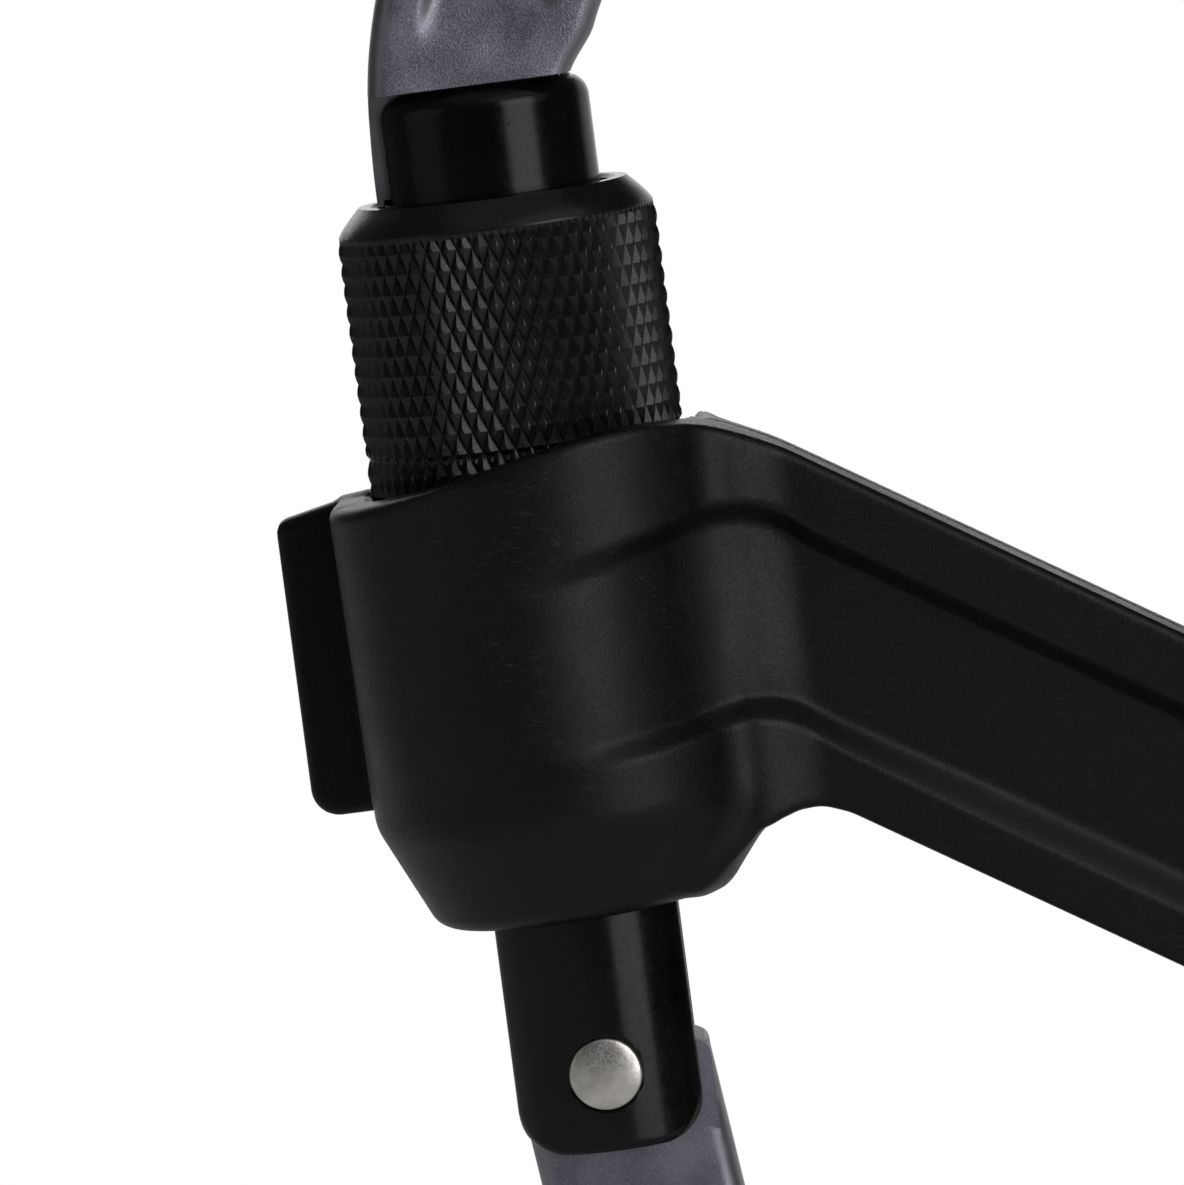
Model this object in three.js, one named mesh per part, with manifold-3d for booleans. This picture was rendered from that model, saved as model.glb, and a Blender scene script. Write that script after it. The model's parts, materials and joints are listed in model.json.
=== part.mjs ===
// A pear-shaped belay carabiner with a screw gate, and a moulded clip that swings on its spine and
// cups the gate, so that the carabiner can't turn sideways in the harness loop.
// Millimetres, +Z up, gate on the left (-X), front towards -Y. The origin is inside the crown, at its top.
import * as THREE from "three";
import { mergeVertices } from "three/addons/utils/BufferGeometryUtils.js";
import Module from "manifold-3d";

const wasm = await Module();
wasm.setup();

// Shared values
const gap = 0.3; // between two pieces that touch, slide or turn
const overrun = 6; // how far a cutter runs past what it cuts
const weld = 0.0001;
const roundSteps = 48;
const smallSteps = 24;
const edgeShare = 1 - Math.SQRT1_2; // where a rounded edge's middle point lies, from its corner
const { degToRad, lerp, smoothstep } = THREE.MathUtils;

// The gate's frame has its origin in the rivet, on the gate's axis, and its z along the gate.
const gateLean = degToRad(7.4);
const rivetRadius = 1.95;
const rivetCrown = 0.35;

// Gate tube, from the rivet up
const gateRadius = 5;
const headRadius = 5.7;
const headTop = 52;
const headLength = 9;
const headRounding = 1.3;
const heelDrop = 4.15;
const heelRounding = 2.6;
const slotTop = 11;
const slotBackWall = 1.5;
const tongueHalf = 2.55;

// Frame: a forged bar of I-section, from the nose over the crown, down the spine and round the bow
const noseBend = 50.5;
const noseRadius = 16.3;
const noseTurn = degToRad(30);
const crownRadius = 34;
const cornerShare = 0.65;
const cornerRadius = crownRadius * cornerShare;
const cornerTurn = degToRad(113.7); // from straight up to where the crown goes over into the corner
const bowRadius = 18.4;
const legLean = degToRad(13.7);
const legLength = 9.5;
const legOffset = 0.35;
const arcStep = degToRad(7);
const crownHalfWidth = 5.7;
const lowHalfWidth = 5.2;
const barHalf = 4.8;
const outerEdge = 1.3;
const innerEdge = 1.8;
const flangeFlat = 0.45;
const pocketSlope = 0.6;
const pocketDepth = 2;
const pocketStart = 2.2;
const pocketRamp = 11;
const pocketEnd = 17;
const legTaperStart = 6.6;
const legTaper = 13;
const tongueOuter = 4.35;
const tongueFlare = 7;
const lineStep = 1.6;

// Nose, a key that hooks into the gate's head
const shoulderGap = 0.6;
const noseInnerHalf = 3.7;
const noseFlare = 5.5;
const neckHalf = 1.9;
const bulbHalf = 2.8;
const bulbLength = 1.7;
const bulbTaper = 1;
const bulbChamfer = 0.5;
const noseRound = 6;

// Tongue in the gate's slot, with a sloping top that works the plunger
const camLow = 4.1;
const camHigh = 4.9;
const camReach = 3.2;
const heelHeight = 1.2;
const heelReach = 5.25;

// Plunger and spring in the gate's bore
const plungerRadius = 2.5;
const plungerTip = camHigh + gap;
const plungerLength = 8.5;
const plungerStemRadius = 1.3;
const plungerStemLength = 4;
const springWire = 0.5;
const springLength = 8.4;
const springTurns = 6;
const springSides = 5;
const springStepsPerTurn = 8;

// Screw sleeve, its threaded liner and the ring that stops it
const sleeveRadius = 8.35;
const sleeveLength = 25;
const rimBelowHeadTop = 5.7;
const rimRadius = 7.4;
const rimChamfer = 1.7;
const sleeveTravel = 4;
const sleeveBoreAtHead = headRadius + 2 * gap;
const sleeveFootChamfer = 0.5;
const knurlGroove = 12.2;
const knurlGrooveWidth = 0.35;
const knurlGrooveDepth = 0.35;
const linerWall = 1;
const linerFoot = 3;
const ringThickness = 0.8;
const ringWidth = 1.1;
const ringGrooveDepth = 0.4;
const ringSplit = 1.6;

// Clip: the cup round the gate
const cupRadius = 10.8;
const creaseRadius = 10.4;
const cupFoot = 9.2;
const cupCrease = 14.1;
const footRadius = 8.1;
const footRounding = 1.1;
const funnelTop = 15.6;
const funnelFoot = 10.9;
const rimLow = 30.3;
const rimHigh = 33.5;
const rimRiseStart = 12;
const rimRiseEnd = 5;
const rimPoints = 14;
const cheekGap = 0.6;
const legDepth = 6.2;
const legOuter = 10.6;
const legTop = 30.9;
const legFoot = 14.9;
const tabReach = 13.35;
const tabTop = 31;
const tabHeight = 16;
const tabThickness = 2;
const tabRoot = 2.6;
const tabCorner = 0.8;
const tabFootCorner = 1.8;

// Clip: the arm, its recessed panel and the seam between its two shells
const armAnchor = 30.25;
const armDrop = degToRad(32.4);
const armHeight = 16.2;
const armFront = 4.8;
const armBack = 1.5;
const armSeam = 0.75;
const armRoot = 6;
const valley = 3;
const shellStart = 11.2;
const humpReach = 13.6;
const humpHeight = 12.35;
const humpEnd = 11;
const humpEndHeight = 11.65;
const webReach = 9;
const webHeight = 10;
const skirtRadius = 8.4;
const skirtSlope = 0.95;
const panelHalf = 4.3;
const panelDepth = 1.3;
const panelEnd = 5;
const bandFade = 1;
const bandLow = 16.2;
const bandHigh = 25.8;
const valleyBandLow = 18;
const valleyBandHigh = 28;
const valleyReach = 10.5;

// Clip: the collar on the spine, and the split bush that it turns on
const journalRadius = 7.9;
const bushFlange = 1.4;
const bushFlangeWidth = 1.2;
const collarWall = 2.2;
const collarLength = 18;

// Screws that hold the two shells together
const screwRadius = 0.75;
const screwHeadRadius = 1.35;
const screwHeadHeight = 0.9;
const screwLength = 4.2;
const screwRecess = 0.25;
const screwInset = 2.15;
const screwSocketRadius = 0.5;
const screwSocketDepth = 0.45;
const screwSocketSides = 6;
const screwFromGate = 13.8;
const screwFromCollar = 9.2;
const lowerScrewShift = 6.4;

const finishes = {
  forging: { color: 0x6f6b78, roughness: 0.42, metalness: 0.9 },
  blackAnodised: { color: 0x0b0c0e, roughness: 0.25, metalness: 0.75 },
  rivetSteel: { color: 0xb9b4aa, roughness: 0.35, metalness: 0.95 },
  springSteel: { color: 0x9a9a9c, roughness: 0.3, metalness: 1 },
  brass: { color: 0xa98b4e, roughness: 0.4, metalness: 0.9 },
  nylon: { color: 0x141416, roughness: 0.55, metalness: 0 },
  acetal: { color: 0x2a2a2d, roughness: 0.5, metalness: 0 },
};

// Turns a closed geometry into a solid, with its shared vertices merged and its faces pointing out.
function solid(geometry) {
  const bare = new THREE.BufferGeometry();
  bare.setAttribute("position", geometry.getAttribute("position").clone());
  if (geometry.index) bare.setIndex(geometry.index.clone());
  const merged = mergeVertices(bare, weld);
  const corners = [];
  const index = merged.index.array;
  for (let i = 0; i < index.length; i += 3) {
    const [a, b, c] = index.slice(i, i + 3);
    if (a !== b && b !== c && c !== a) corners.push(a, b, c);
  }
  const vertProperties = new Float32Array(merged.attributes.position.array);
  const build = (list) =>
    new wasm.Manifold(new wasm.Mesh({ numProp: 3, vertProperties, triVerts: new Uint32Array(list) }));
  const made = build(corners);
  return made.volume() < 0 ? build(corners.reverse()) : made;
}

function geometryOf(made) {
  const mesh = made.getMesh();
  const geometry = new THREE.BufferGeometry();
  geometry.setAttribute("position", new THREE.BufferAttribute(mesh.vertProperties, 3));
  geometry.setIndex(new THREE.BufferAttribute(mesh.triVerts, 1));
  geometry.computeVertexNormals();
  return geometry;
}

const materials = Object.fromEntries(
  Object.entries(finishes).map(([name, look]) => [name, new THREE.MeshStandardMaterial(look)]),
);

function piece(name, made, material) {
  const mesh = new THREE.Mesh(geometryOf(made), material);
  mesh.name = name;
  return mesh;
}

// A solid of revolution about z, from a closed profile of [radius, height] pairs.
function turned(profile, steps = roundSteps) {
  const points = profile.map(([radius, height]) => new THREE.Vector2(radius, height));
  points.push(points[0].clone());
  return solid(new THREE.LatheGeometry(points, steps).rotateX(Math.PI / 2));
}

function rod(radius, from, to, steps = roundSteps) {
  return turned([[0, from], [radius, from], [radius, to], [0, to]], steps);
}

const alongY = new THREE.Matrix4().makeBasis(
  new THREE.Vector3(1, 0, 0), new THREE.Vector3(0, 0, 1), new THREE.Vector3(0, -1, 0),
);
const alongX = new THREE.Matrix4().makeBasis(
  new THREE.Vector3(0, 1, 0), new THREE.Vector3(0, 0, 1), new THREE.Vector3(1, 0, 0),
);

function extruded(shape, depth) {
  return new THREE.ExtrudeGeometry(shape, { depth, bevelEnabled: false, curveSegments: smallSteps / 2 });
}

// A side outline in x and z, made solid from y = from to y = to.
function plate(shape, from, to) {
  return solid(extruded(shape, to - from).applyMatrix4(alongY).translate(0, to, 0));
}

// A plan outline in x and y, made solid from z = from to z = to.
function prism(shape, from, to) {
  return solid(extruded(shape, to - from).translate(0, 0, from));
}

// An outline in y and z, made solid from x = from to x = to.
function bar(shape, from, to) {
  return solid(extruded(shape, to - from).applyMatrix4(alongX).translate(from, 0, 0));
}

function block([x0, x1], [y0, y1], [z0, z1]) {
  const geometry = new THREE.BoxGeometry(x1 - x0, y1 - y0, z1 - z0);
  return solid(geometry.translate((x0 + x1) / 2, (y0 + y1) / 2, (z0 + z1) / 2));
}

// A pin along y through a place in x and z.
function crossPin(radius, x, z, from, to, steps = smallSteps) {
  const geometry = new THREE.CylinderGeometry(radius, radius, to - from, steps);
  return solid(geometry.translate(x, (from + to) / 2, z));
}

const polygon = (points) => new THREE.Shape(points.map(([x, y]) => new THREE.Vector2(x, y)));

// A rectangle whose four corners, from lower left anticlockwise, have their own rounding.
function roundedRect([x0, x1], [y0, y1], [lowLeft, lowRight, highRight, highLeft]) {
  const shape = new THREE.Shape();
  shape.moveTo(x0 + lowLeft, y0);
  shape.lineTo(x1 - lowRight, y0);
  shape.absarc(x1 - lowRight, y0 + lowRight, lowRight, -Math.PI / 2, 0);
  shape.lineTo(x1, y1 - highRight);
  shape.absarc(x1 - highRight, y1 - highRight, highRight, 0, Math.PI / 2);
  shape.lineTo(x0 + highLeft, y1);
  shape.absarc(x0 + highLeft, y1 - highLeft, highLeft, Math.PI / 2, Math.PI);
  shape.lineTo(x0, y0 + lowLeft);
  shape.absarc(x0 + lowLeft, y0 + lowLeft, lowLeft, Math.PI, (3 * Math.PI) / 2);
  return shape;
}

// From the gate's frame to the part's, before the shift that puts the origin at the hanging point.
function fromGate(x, z) {
  return new THREE.Vector2(
    x * Math.cos(gateLean) - z * Math.sin(gateLean),
    x * Math.sin(gateLean) + z * Math.cos(gateLean),
  );
}

// Along the bar, clockwise from straight up, and square to it towards the inside.
const heading = (angle) => new THREE.Vector2(Math.sin(angle), Math.cos(angle));
const inward = (angle) => new THREE.Vector2(Math.cos(angle), -Math.sin(angle));

const shoulder = headTop + shoulderGap;
const sleeveRim = headTop - rimBelowHeadTop;
const sleeveFoot = sleeveRim - sleeveLength;
// The sleeve's rim swings clear of the nose when the gate opens.
const noseTip = Math.hypot(sleeveRim, rimRadius) + gap / 2;

// The bar's centreline: the circles that it follows and the headings where they meet.
function layOutBar() {
  const start = -gateLean;
  const crownStart = start + noseTurn;
  const legHeading = 2 * Math.PI - legLean;
  const bend = fromGate(0, noseBend);
  const noseCentre = bend.clone().addScaledVector(inward(start), noseRadius);
  const crownCentre = noseCentre.clone().addScaledVector(inward(crownStart), crownRadius - noseRadius);
  const hinge = fromGate(legOffset, 0);
  const legEnd = hinge.clone().addScaledVector(heading(legHeading), -legLength);
  const bowCentre = legEnd.clone().addScaledVector(inward(legHeading), bowRadius);
  const cornerCentre = crownCentre.clone().addScaledVector(inward(cornerTurn), cornerRadius - crownRadius);
  // The spine's line touches the corner's circle and the bow's.
  const across = cornerCentre.clone().sub(bowCentre);
  const turnAway = Math.acos((cornerRadius - bowRadius) / across.length());
  const spineHeading = 2 * Math.PI - turnAway - Math.atan2(across.y, across.x);
  const upSpine = heading(spineHeading).negate();
  const spineMiddle = bowCentre.clone().addScaledVector(inward(spineHeading), -bowRadius);
  return {
    bend, hinge, legEnd, legHeading, spineHeading, crownCentre, upSpine, spineMiddle,
    arcs: [
      { centre: noseCentre, radius: noseRadius, from: start, to: crownStart },
      { centre: crownCentre, radius: crownRadius, from: crownStart, to: cornerTurn },
      { centre: cornerCentre, radius: cornerRadius, from: cornerTurn, to: spineHeading },
      { centre: bowCentre, radius: bowRadius, from: spineHeading, to: legHeading },
    ],
  };
}

const layout = layOutBar();
const spineLean = layout.spineHeading - Math.PI;
const hangingPoint = layout.crownCentre.clone().add(new THREE.Vector2(0, crownRadius - crownHalfWidth));

function lineStations(from, to, angle) {
  const steps = Math.max(1, Math.round(from.distanceTo(to) / lineStep));
  return Array.from({ length: steps + 1 }, (_, i) => ({ at: from.clone().lerp(to, i / steps), angle }));
}

function arcStations({ centre, radius, from, to }) {
  const steps = Math.ceil((to - from) / arcStep);
  return Array.from({ length: steps + 1 }, (_, i) => {
    const angle = lerp(from, to, i / steps);
    return { at: centre.clone().addScaledVector(inward(angle), -radius), angle };
  });
}

// Stations along the bar, each with the way travelled from the shoulder and the way left to the hinge.
function barStations() {
  const [nose, crown, corner, bow] = layout.arcs.map(arcStations);
  const tip = lineStations(fromGate(0, noseTip), layout.bend, -gateLean);
  const leg = lineStations(layout.legEnd, layout.hinge, layout.legHeading);
  const all = [tip, nose, crown, corner, bow, leg].flat();
  const stations = all.filter((one, i) => i === 0 || one.at.distanceTo(all[i - 1].at) > gap);
  let way = noseTip - shoulder;
  stations.forEach((one, i) => {
    if (i) way += one.at.distanceTo(stations[i - 1].at);
    one.way = way;
  });
  stations.forEach((one) => (one.left = way - one.way));
  const wayAt = (angle) => stations.find((one) => one.angle >= angle - weld).way;
  const [cornerStart, cornerEnd] = [cornerTurn, layout.spineHeading].map(wayAt);
  return { stations, cornerStart, cornerEnd };
}

// The bar's section, as points across the bar (outside negative) and through it. A clearance grows it.
function barSection({ outer, inner, half, pocket }, clearance = 0) {
  const [o, i, h] = [outer + clearance, inner + clearance, half + clearance];
  const flange = flangeFlat + 2 * clearance;
  const front = [
    [-o, outerEdge - h],
    [-o + edgeShare * outerEdge, edgeShare * outerEdge - h],
    [-o + outerEdge, -h],
    [-o + outerEdge + flange, -h],
    [-o + outerEdge + flange + pocketSlope, pocket - h],
    [i - innerEdge - flange - pocketSlope, pocket - h],
    [i - innerEdge - flange, -h],
    [i - innerEdge, -h],
    [i - edgeShare * innerEdge, edgeShare * innerEdge - h],
    [i, innerEdge - h],
  ];
  return [...front, ...front.map(([across, y]) => [across, -y]).reverse()];
}

const spineWidths = { outer: lowHalfWidth, inner: lowHalfWidth, half: barHalf, pocket: pocketDepth };

function widthsAt({ way, left }, { cornerStart, cornerEnd }) {
  const full = lerp(crownHalfWidth, lowHalfWidth, smoothstep(way, cornerStart, cornerEnd));
  const flare = smoothstep(way, -shoulderGap, noseFlare);
  const pocketIn = smoothstep(way, pocketStart, pocketStart + pocketRamp);
  const pocketOut = smoothstep(left, pocketEnd, pocketEnd + pocketRamp);
  return {
    outer: lerp(tongueOuter, full, smoothstep(left, 0, tongueFlare)),
    inner: lerp(noseInnerHalf, full, flare),
    half: lerp(tongueHalf, barHalf, smoothstep(left, legTaperStart, legTaperStart + legTaper)),
    pocket: pocketDepth * pocketIn * pocketOut,
  };
}

// The bar, as its section carried along the stations.
function loftedBar() {
  const run = barStations();
  const rings = run.stations.map((one) => barSection(widthsAt(one, run)));
  const count = rings[0].length;
  const positions = rings.flatMap((ring, k) => {
    const { at, angle } = run.stations[k];
    return ring.flatMap(([across, y]) => {
      const place = at.clone().addScaledVector(inward(angle), across);
      return [place.x, y, place.y];
    });
  });
  const index = [];
  for (let k = 0; k + 1 < rings.length; k += 1) {
    for (let j = 0; j < count; j += 1) {
      const [a, b] = [k * count + j, k * count + ((j + 1) % count)];
      index.push(a, b, b + count, a, b + count, a + count);
    }
  }
  const last = (rings.length - 1) * count;
  for (let j = 1; j + 1 < count; j += 1) {
    index.push(0, j + 1, j, last, last + j, last + j + 1);
  }
  const geometry = new THREE.BufferGeometry();
  geometry.setAttribute("position", new THREE.Float32BufferAttribute(positions, 3));
  geometry.setIndex(index);
  return solid(geometry);
}

// The key's outline through the bar, a neck with a wider bulb at its end. A clearance grows it all round.
function keyOutline(clearance, foot) {
  const [neck, bulb] = [neckHalf + clearance, bulbHalf + clearance];
  const bulbTop = noseTip + bulbLength + clearance;
  const top = shoulder + overrun;
  return polygon([
    [-neck, top], [-neck, bulbTop + bulbTaper], [-bulb, bulbTop], [-bulb, foot + bulbChamfer],
    [bulbChamfer - bulb, foot], [bulb - bulbChamfer, foot], [bulb, foot + bulbChamfer],
    [bulb, bulbTop], [neck, bulbTop + bulbTaper], [neck, top],
  ]);
}

const turnedToGate = (made) => made.rotate([0, -THREE.MathUtils.radToDeg(gateLean), 0]);

function tongue() {
  const root = legOffset - tongueOuter;
  const outline = polygon([
    [root, -gap], [legOffset + lowHalfWidth, -camLow], [heelReach + gap, 0], [heelReach, heelHeight],
    [camReach, camHigh], [-camReach / 2, camLow], [root + heelHeight, camLow - heelHeight], [root, gap],
  ]);
  return plate(outline, -tongueHalf, tongueHalf);
}

function carabinerFrame() {
  const noseZone = block(
    [-cupRadius, cupRadius], [-cupRadius, cupRadius], [noseTip - overrun, shoulder],
  );
  const key = bar(keyOutline(0, noseTip), -cupRadius, noseInnerHalf + gap);
  const nose = key.intersect(rod(noseRound, noseTip - overrun, shoulder + overrun));
  const rivetHole = crossPin(rivetRadius + gap, 0, 0, -overrun, overrun);
  return loftedBar()
    .add(turnedToGate(tongue()))
    .subtract(turnedToGate(noseZone.subtract(nose)))
    .subtract(turnedToGate(rivetHole));
}

function hingeRivet() {
  const end = gateRadius - gap;
  const crown = gateRadius + rivetCrown;
  const rim = rivetRadius * edgeShare;
  const made = turned([
    [0, -crown], [rivetRadius - 2 * rim, rim / 2 - crown], [rivetRadius, -end],
    [rivetRadius, end], [rivetRadius - 2 * rim, crown - rim / 2], [0, crown],
  ], smallSteps);
  return made.rotate([90, 0, 0]);
}

// The gate's side outline, with its rounded heel and rounded head.
function gateOutline() {
  const reach = headRadius + gap;
  const corners = [heelRounding, heelRounding, 0, 0];
  const shaft = headTop - headLength;
  const low = roundedRect([-gateRadius, gateRadius], [-heelDrop, shaft], corners);
  const high = block([-reach, reach], [-reach, reach], [shaft - overrun, headTop + overrun]);
  return plate(low, -reach, reach).add(high);
}

function gateTube() {
  const shaft = headTop - headLength;
  const edge = headRounding * edgeShare;
  const ringTop = sleeveFoot - gap / 2;
  const ringFoot = ringTop - ringThickness - gap;
  const groove = gateRadius - ringGrooveDepth;
  const body = turned([
    [0, -heelDrop], [gateRadius, -heelDrop], [gateRadius, ringFoot], [groove, ringFoot],
    [groove, ringTop], [gateRadius, ringTop], [gateRadius, shaft],
    [headRadius, shaft + headRadius - gateRadius], [headRadius, headTop - headRounding],
    [headRadius - edge, headTop - edge], [headRadius - headRounding, headTop], [0, headTop],
  ]);
  const slotHalf = tongueHalf + gap;
  const swing = Math.hypot(camReach, camHigh) + gap;
  const open = [slotBackWall - gateRadius, gateRadius + overrun];
  const slot = block(open, [-slotHalf, slotHalf], [-heelDrop - overrun, slotTop]);
  const keyFoot = noseTip - 2 * gap;
  return body
    .intersect(gateOutline())
    .subtract(bar(keyOutline(gap, keyFoot), -cupRadius, noseInnerHalf + 2 * gap))
    .subtract(slot)
    .subtract(block([-cupRadius, cupRadius], [-slotHalf, slotHalf], [-cupRadius, 0]))
    .subtract(crossPin(swing, 0, 0, -slotHalf, slotHalf, roundSteps))
    .subtract(crossPin(rivetRadius + gap, 0, 0, -gateRadius - overrun, gateRadius + overrun))
    .subtract(rod(plungerRadius + gap, slotTop / 2, springTop() + gap, smallSteps));
}

const springTop = () => plungerTip + plungerLength + gap + springLength;

function gatePlunger() {
  const [tip, top] = [plungerTip, plungerTip + plungerLength];
  const round = plungerRadius * edgeShare;
  return turned([
    [0, tip], [plungerRadius - 2 * round, tip + round / 2], [plungerRadius, tip + 2 * round],
    [plungerRadius, top], [plungerStemRadius, top], [plungerStemRadius, top + plungerStemLength],
    [0, top + plungerStemLength],
  ], smallSteps);
}

class Helix extends THREE.Curve {
  constructor(radius, height, turns) {
    super();
    Object.assign(this, { radius, height, turns });
  }

  getPoint(share, target = new THREE.Vector3()) {
    const angle = 2 * Math.PI * this.turns * share;
    return target.set(this.radius * Math.cos(angle), this.radius * Math.sin(angle), this.height * share);
  }
}

function gateSpring() {
  const radius = plungerRadius - springWire / 2;
  const wire = new THREE.Shape();
  wire.absarc(0, 0, springWire / 2, 0, 2 * Math.PI);
  const path = new Helix(radius, springLength - springWire, springTurns);
  const geometry = new THREE.ExtrudeGeometry(wire, {
    extrudePath: path, steps: springTurns * springStepsPerTurn, curveSegments: springSides,
  });
  const foot = plungerTip + plungerLength + gap + springWire / 2;
  return solid(geometry.translate(0, 0, foot));
}

const linerTop = headTop - headLength - sleeveTravel - gap;

function screwSleeve() {
  const bore = gateRadius + gap + linerWall + gap;
  const seat = linerTop + gap;
  const groove = sleeveRim - knurlGroove;
  const chamfer = sleeveFootChamfer;
  return turned([
    [bore, sleeveFoot], [sleeveRadius - chamfer, sleeveFoot], [sleeveRadius, sleeveFoot + chamfer],
    [sleeveRadius, groove - knurlGrooveWidth],
    [sleeveRadius - knurlGrooveDepth, groove - knurlGrooveWidth / 2], [sleeveRadius, groove],
    [sleeveRadius, sleeveRim - rimChamfer], [rimRadius, sleeveRim], [sleeveBoreAtHead, sleeveRim],
    [sleeveBoreAtHead, seat], [bore, seat],
  ]);
}

function sleeveLiner() {
  const [inner, outer] = [gateRadius + gap, gateRadius + gap + linerWall];
  const foot = sleeveFoot + linerFoot;
  return turned([[inner, foot], [outer, foot], [outer, linerTop], [inner, linerTop]]);
}

function stopRing() {
  const inner = gateRadius - ringGrooveDepth + gap;
  const foot = sleeveFoot - gap - ringThickness;
  const split = block(
    [0, inner + ringWidth + overrun], [-ringSplit / 2, ringSplit / 2], [foot - overrun, foot + overrun],
  );
  const ring = turned([
    [inner, foot], [inner + ringWidth, foot], [inner + ringWidth, foot + ringThickness],
    [inner, foot + ringThickness],
  ]);
  return ring.subtract(split);
}

// Where the arm's middle line crosses the spine's axis, in the gate's frame.
function spineInGate() {
  const turn = (v) => v.clone().rotateAround(new THREE.Vector2(), -gateLean);
  const on = turn(layout.spineMiddle);
  const up = turn(layout.upSpine);
  const slope = Math.tan(armDrop);
  const share = (armAnchor - slope * on.x - on.y) / (up.y + slope * up.x);
  return on.addScaledVector(up, share);
}

const spinePlace = spineInGate();
const spineTurn = gateLean + spineLean;

// Places along and across the arm, in the gate's frame.
function onArm(reach, across) {
  return [
    reach * Math.cos(armDrop) + across * Math.sin(armDrop),
    armAnchor - reach * Math.sin(armDrop) + across * Math.cos(armDrop),
  ];
}

const armReach = spinePlace.x / Math.cos(armDrop);
const collarRadius = journalRadius + gap + collarWall;

function armSide() {
  const half = armHeight / 2;
  const shape = new THREE.Shape();
  const topStart = (half / Math.cos(armDrop) + armAnchor - rimHigh) / Math.tan(armDrop);
  shape.moveTo(armRoot, rimHigh);
  shape.lineTo(topStart, rimHigh);
  shape.lineTo(...onArm(armReach, half));
  shape.lineTo(...onArm(armReach, -half));
  const bottom = (x) => armAnchor - x * Math.tan(armDrop) - half / Math.cos(armDrop);
  const humpStart = 2 * humpReach - humpEnd;
  shape.lineTo(humpStart, bottom(humpStart));
  shape.quadraticCurveTo(humpReach, humpHeight, humpEnd, humpEndHeight);
  shape.lineTo(webReach, webHeight);
  shape.lineTo(footRadius, cupFoot);
  shape.lineTo(armRoot, cupFoot);
  return shape;
}

// The arm from above: a hollow curve from the cup's round wall into the arm's flat front.
function armPlan(front, shift = 0) {
  const far = spinePlace.x + overrun;
  const middleY = -(front + valley);
  const middleX = Math.sqrt((cupRadius + valley) ** 2 - middleY ** 2) - shift;
  const share = cupRadius / (cupRadius + valley);
  const [touchX, touchY] = [(middleX + shift) * share - shift, middleY * share];
  const shape = new THREE.Shape();
  shape.moveTo(far, armBack);
  shape.lineTo(armRoot - shift, armBack);
  shape.lineTo(armRoot - shift, touchY);
  shape.lineTo(touchX, touchY);
  shape.absarc(middleX, middleY, valley, Math.atan2(touchY - middleY, touchX - middleX), Math.PI / 2, true);
  shape.lineTo(far, -front);
  return shape;
}

// The recessed panel of the arm, which runs on round the cup and fades out there.
function panelCut() {
  const end = armReach - collarRadius - panelEnd;
  const outline = new THREE.Shape();
  outline.moveTo(0, bandLow);
  outline.quadraticCurveTo(valleyReach / 2, bandLow, valleyReach, valleyBandLow);
  outline.lineTo(...onArm(valleyReach * 2 - armRoot, -panelHalf));
  outline.lineTo(...onArm(end, -panelHalf));
  outline.lineTo(...onArm(end, panelHalf));
  outline.lineTo(...onArm(valleyReach * 2 - armRoot, panelHalf));
  outline.lineTo(valleyReach, valleyBandHigh);
  outline.quadraticCurveTo(valleyReach / 2, bandHigh, 0, bandHigh);
  const [from, to] = [cupFoot - armHeight * 2, rimHigh + overrun];
  const round = new THREE.Shape();
  round.absarc(-bandFade, 0, cupRadius, 0, 2 * Math.PI);
  const floor = prism(armPlan(armFront - panelDepth, bandFade), from, to).add(prism(round, from, to));
  return plate(outline, -cupRadius - overrun, 0).subtract(floor);
}

const turnedToSpine = (made) =>
  made.rotate([0, THREE.MathUtils.radToDeg(spineTurn), 0]).translate([spinePlace.x, 0, spinePlace.y]);

// What the arm's foot keeps clear of beside the cup, so that the cup's cone runs out into the arm.
function skirtCut() {
  const rise = humpEndHeight - cupFoot;
  const reach = [armRoot, skirtRadius + rise];
  const zone = block(reach, [-cupRadius, cupRadius], [cupFoot - gap, humpEndHeight]);
  const skirt = turned([
    [0, cupFoot - gap], [skirtRadius, cupFoot - gap], [skirtRadius, cupFoot],
    [skirtRadius + rise / skirtSlope, humpEndHeight], [skirtRadius + rise / skirtSlope, humpHeight],
    [0, humpHeight],
  ]);
  return zone.subtract(skirt);
}

// The arm with its collar, before it is split at the seam.
function wholeArm() {
  const half = collarLength / 2;
  const arm = prism(armPlan(armFront), -cupRadius * 3, rimHigh + overrun)
    .intersect(plate(armSide(), -cupRadius, cupRadius))
    .subtract(skirtCut());
  const collar = rod(collarRadius, -half, half);
  const flange = journalRadius + bushFlange + gap;
  const relief = rod(flange, half, half + armHeight).add(rod(flange, -half - armHeight, -half));
  const bore = rod(journalRadius + gap, -half - overrun, half + overrun);
  return arm.add(turnedToSpine(collar)).subtract(turnedToSpine(relief.add(bore)));
}

function cupWall() {
  const profile = [
    [0, cupFoot], [footRadius - footRounding, cupFoot], [footRadius, cupFoot + footRounding * edgeShare],
    [creaseRadius, cupCrease], [cupRadius, rimHigh], [cupRadius, rimHigh + overrun], [0, rimHigh + overrun],
  ];
  const rimAt = (x) => lerp(rimLow, rimHigh, smoothstep(x, -rimRiseStart, rimRiseEnd));
  const reach = cupRadius + gap;
  const rimLine = Array.from({ length: rimPoints + 1 }, (_, i) => {
    const x = lerp(reach, -reach, i / rimPoints);
    return [x, rimAt(x)];
  });
  const side = polygon([[-reach, cupFoot - gap], [reach, cupFoot - gap], ...rimLine]);
  return turned(profile, roundSteps + smallSteps).intersect(plate(side, -cupRadius * 2, cupRadius * 2));
}

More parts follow.
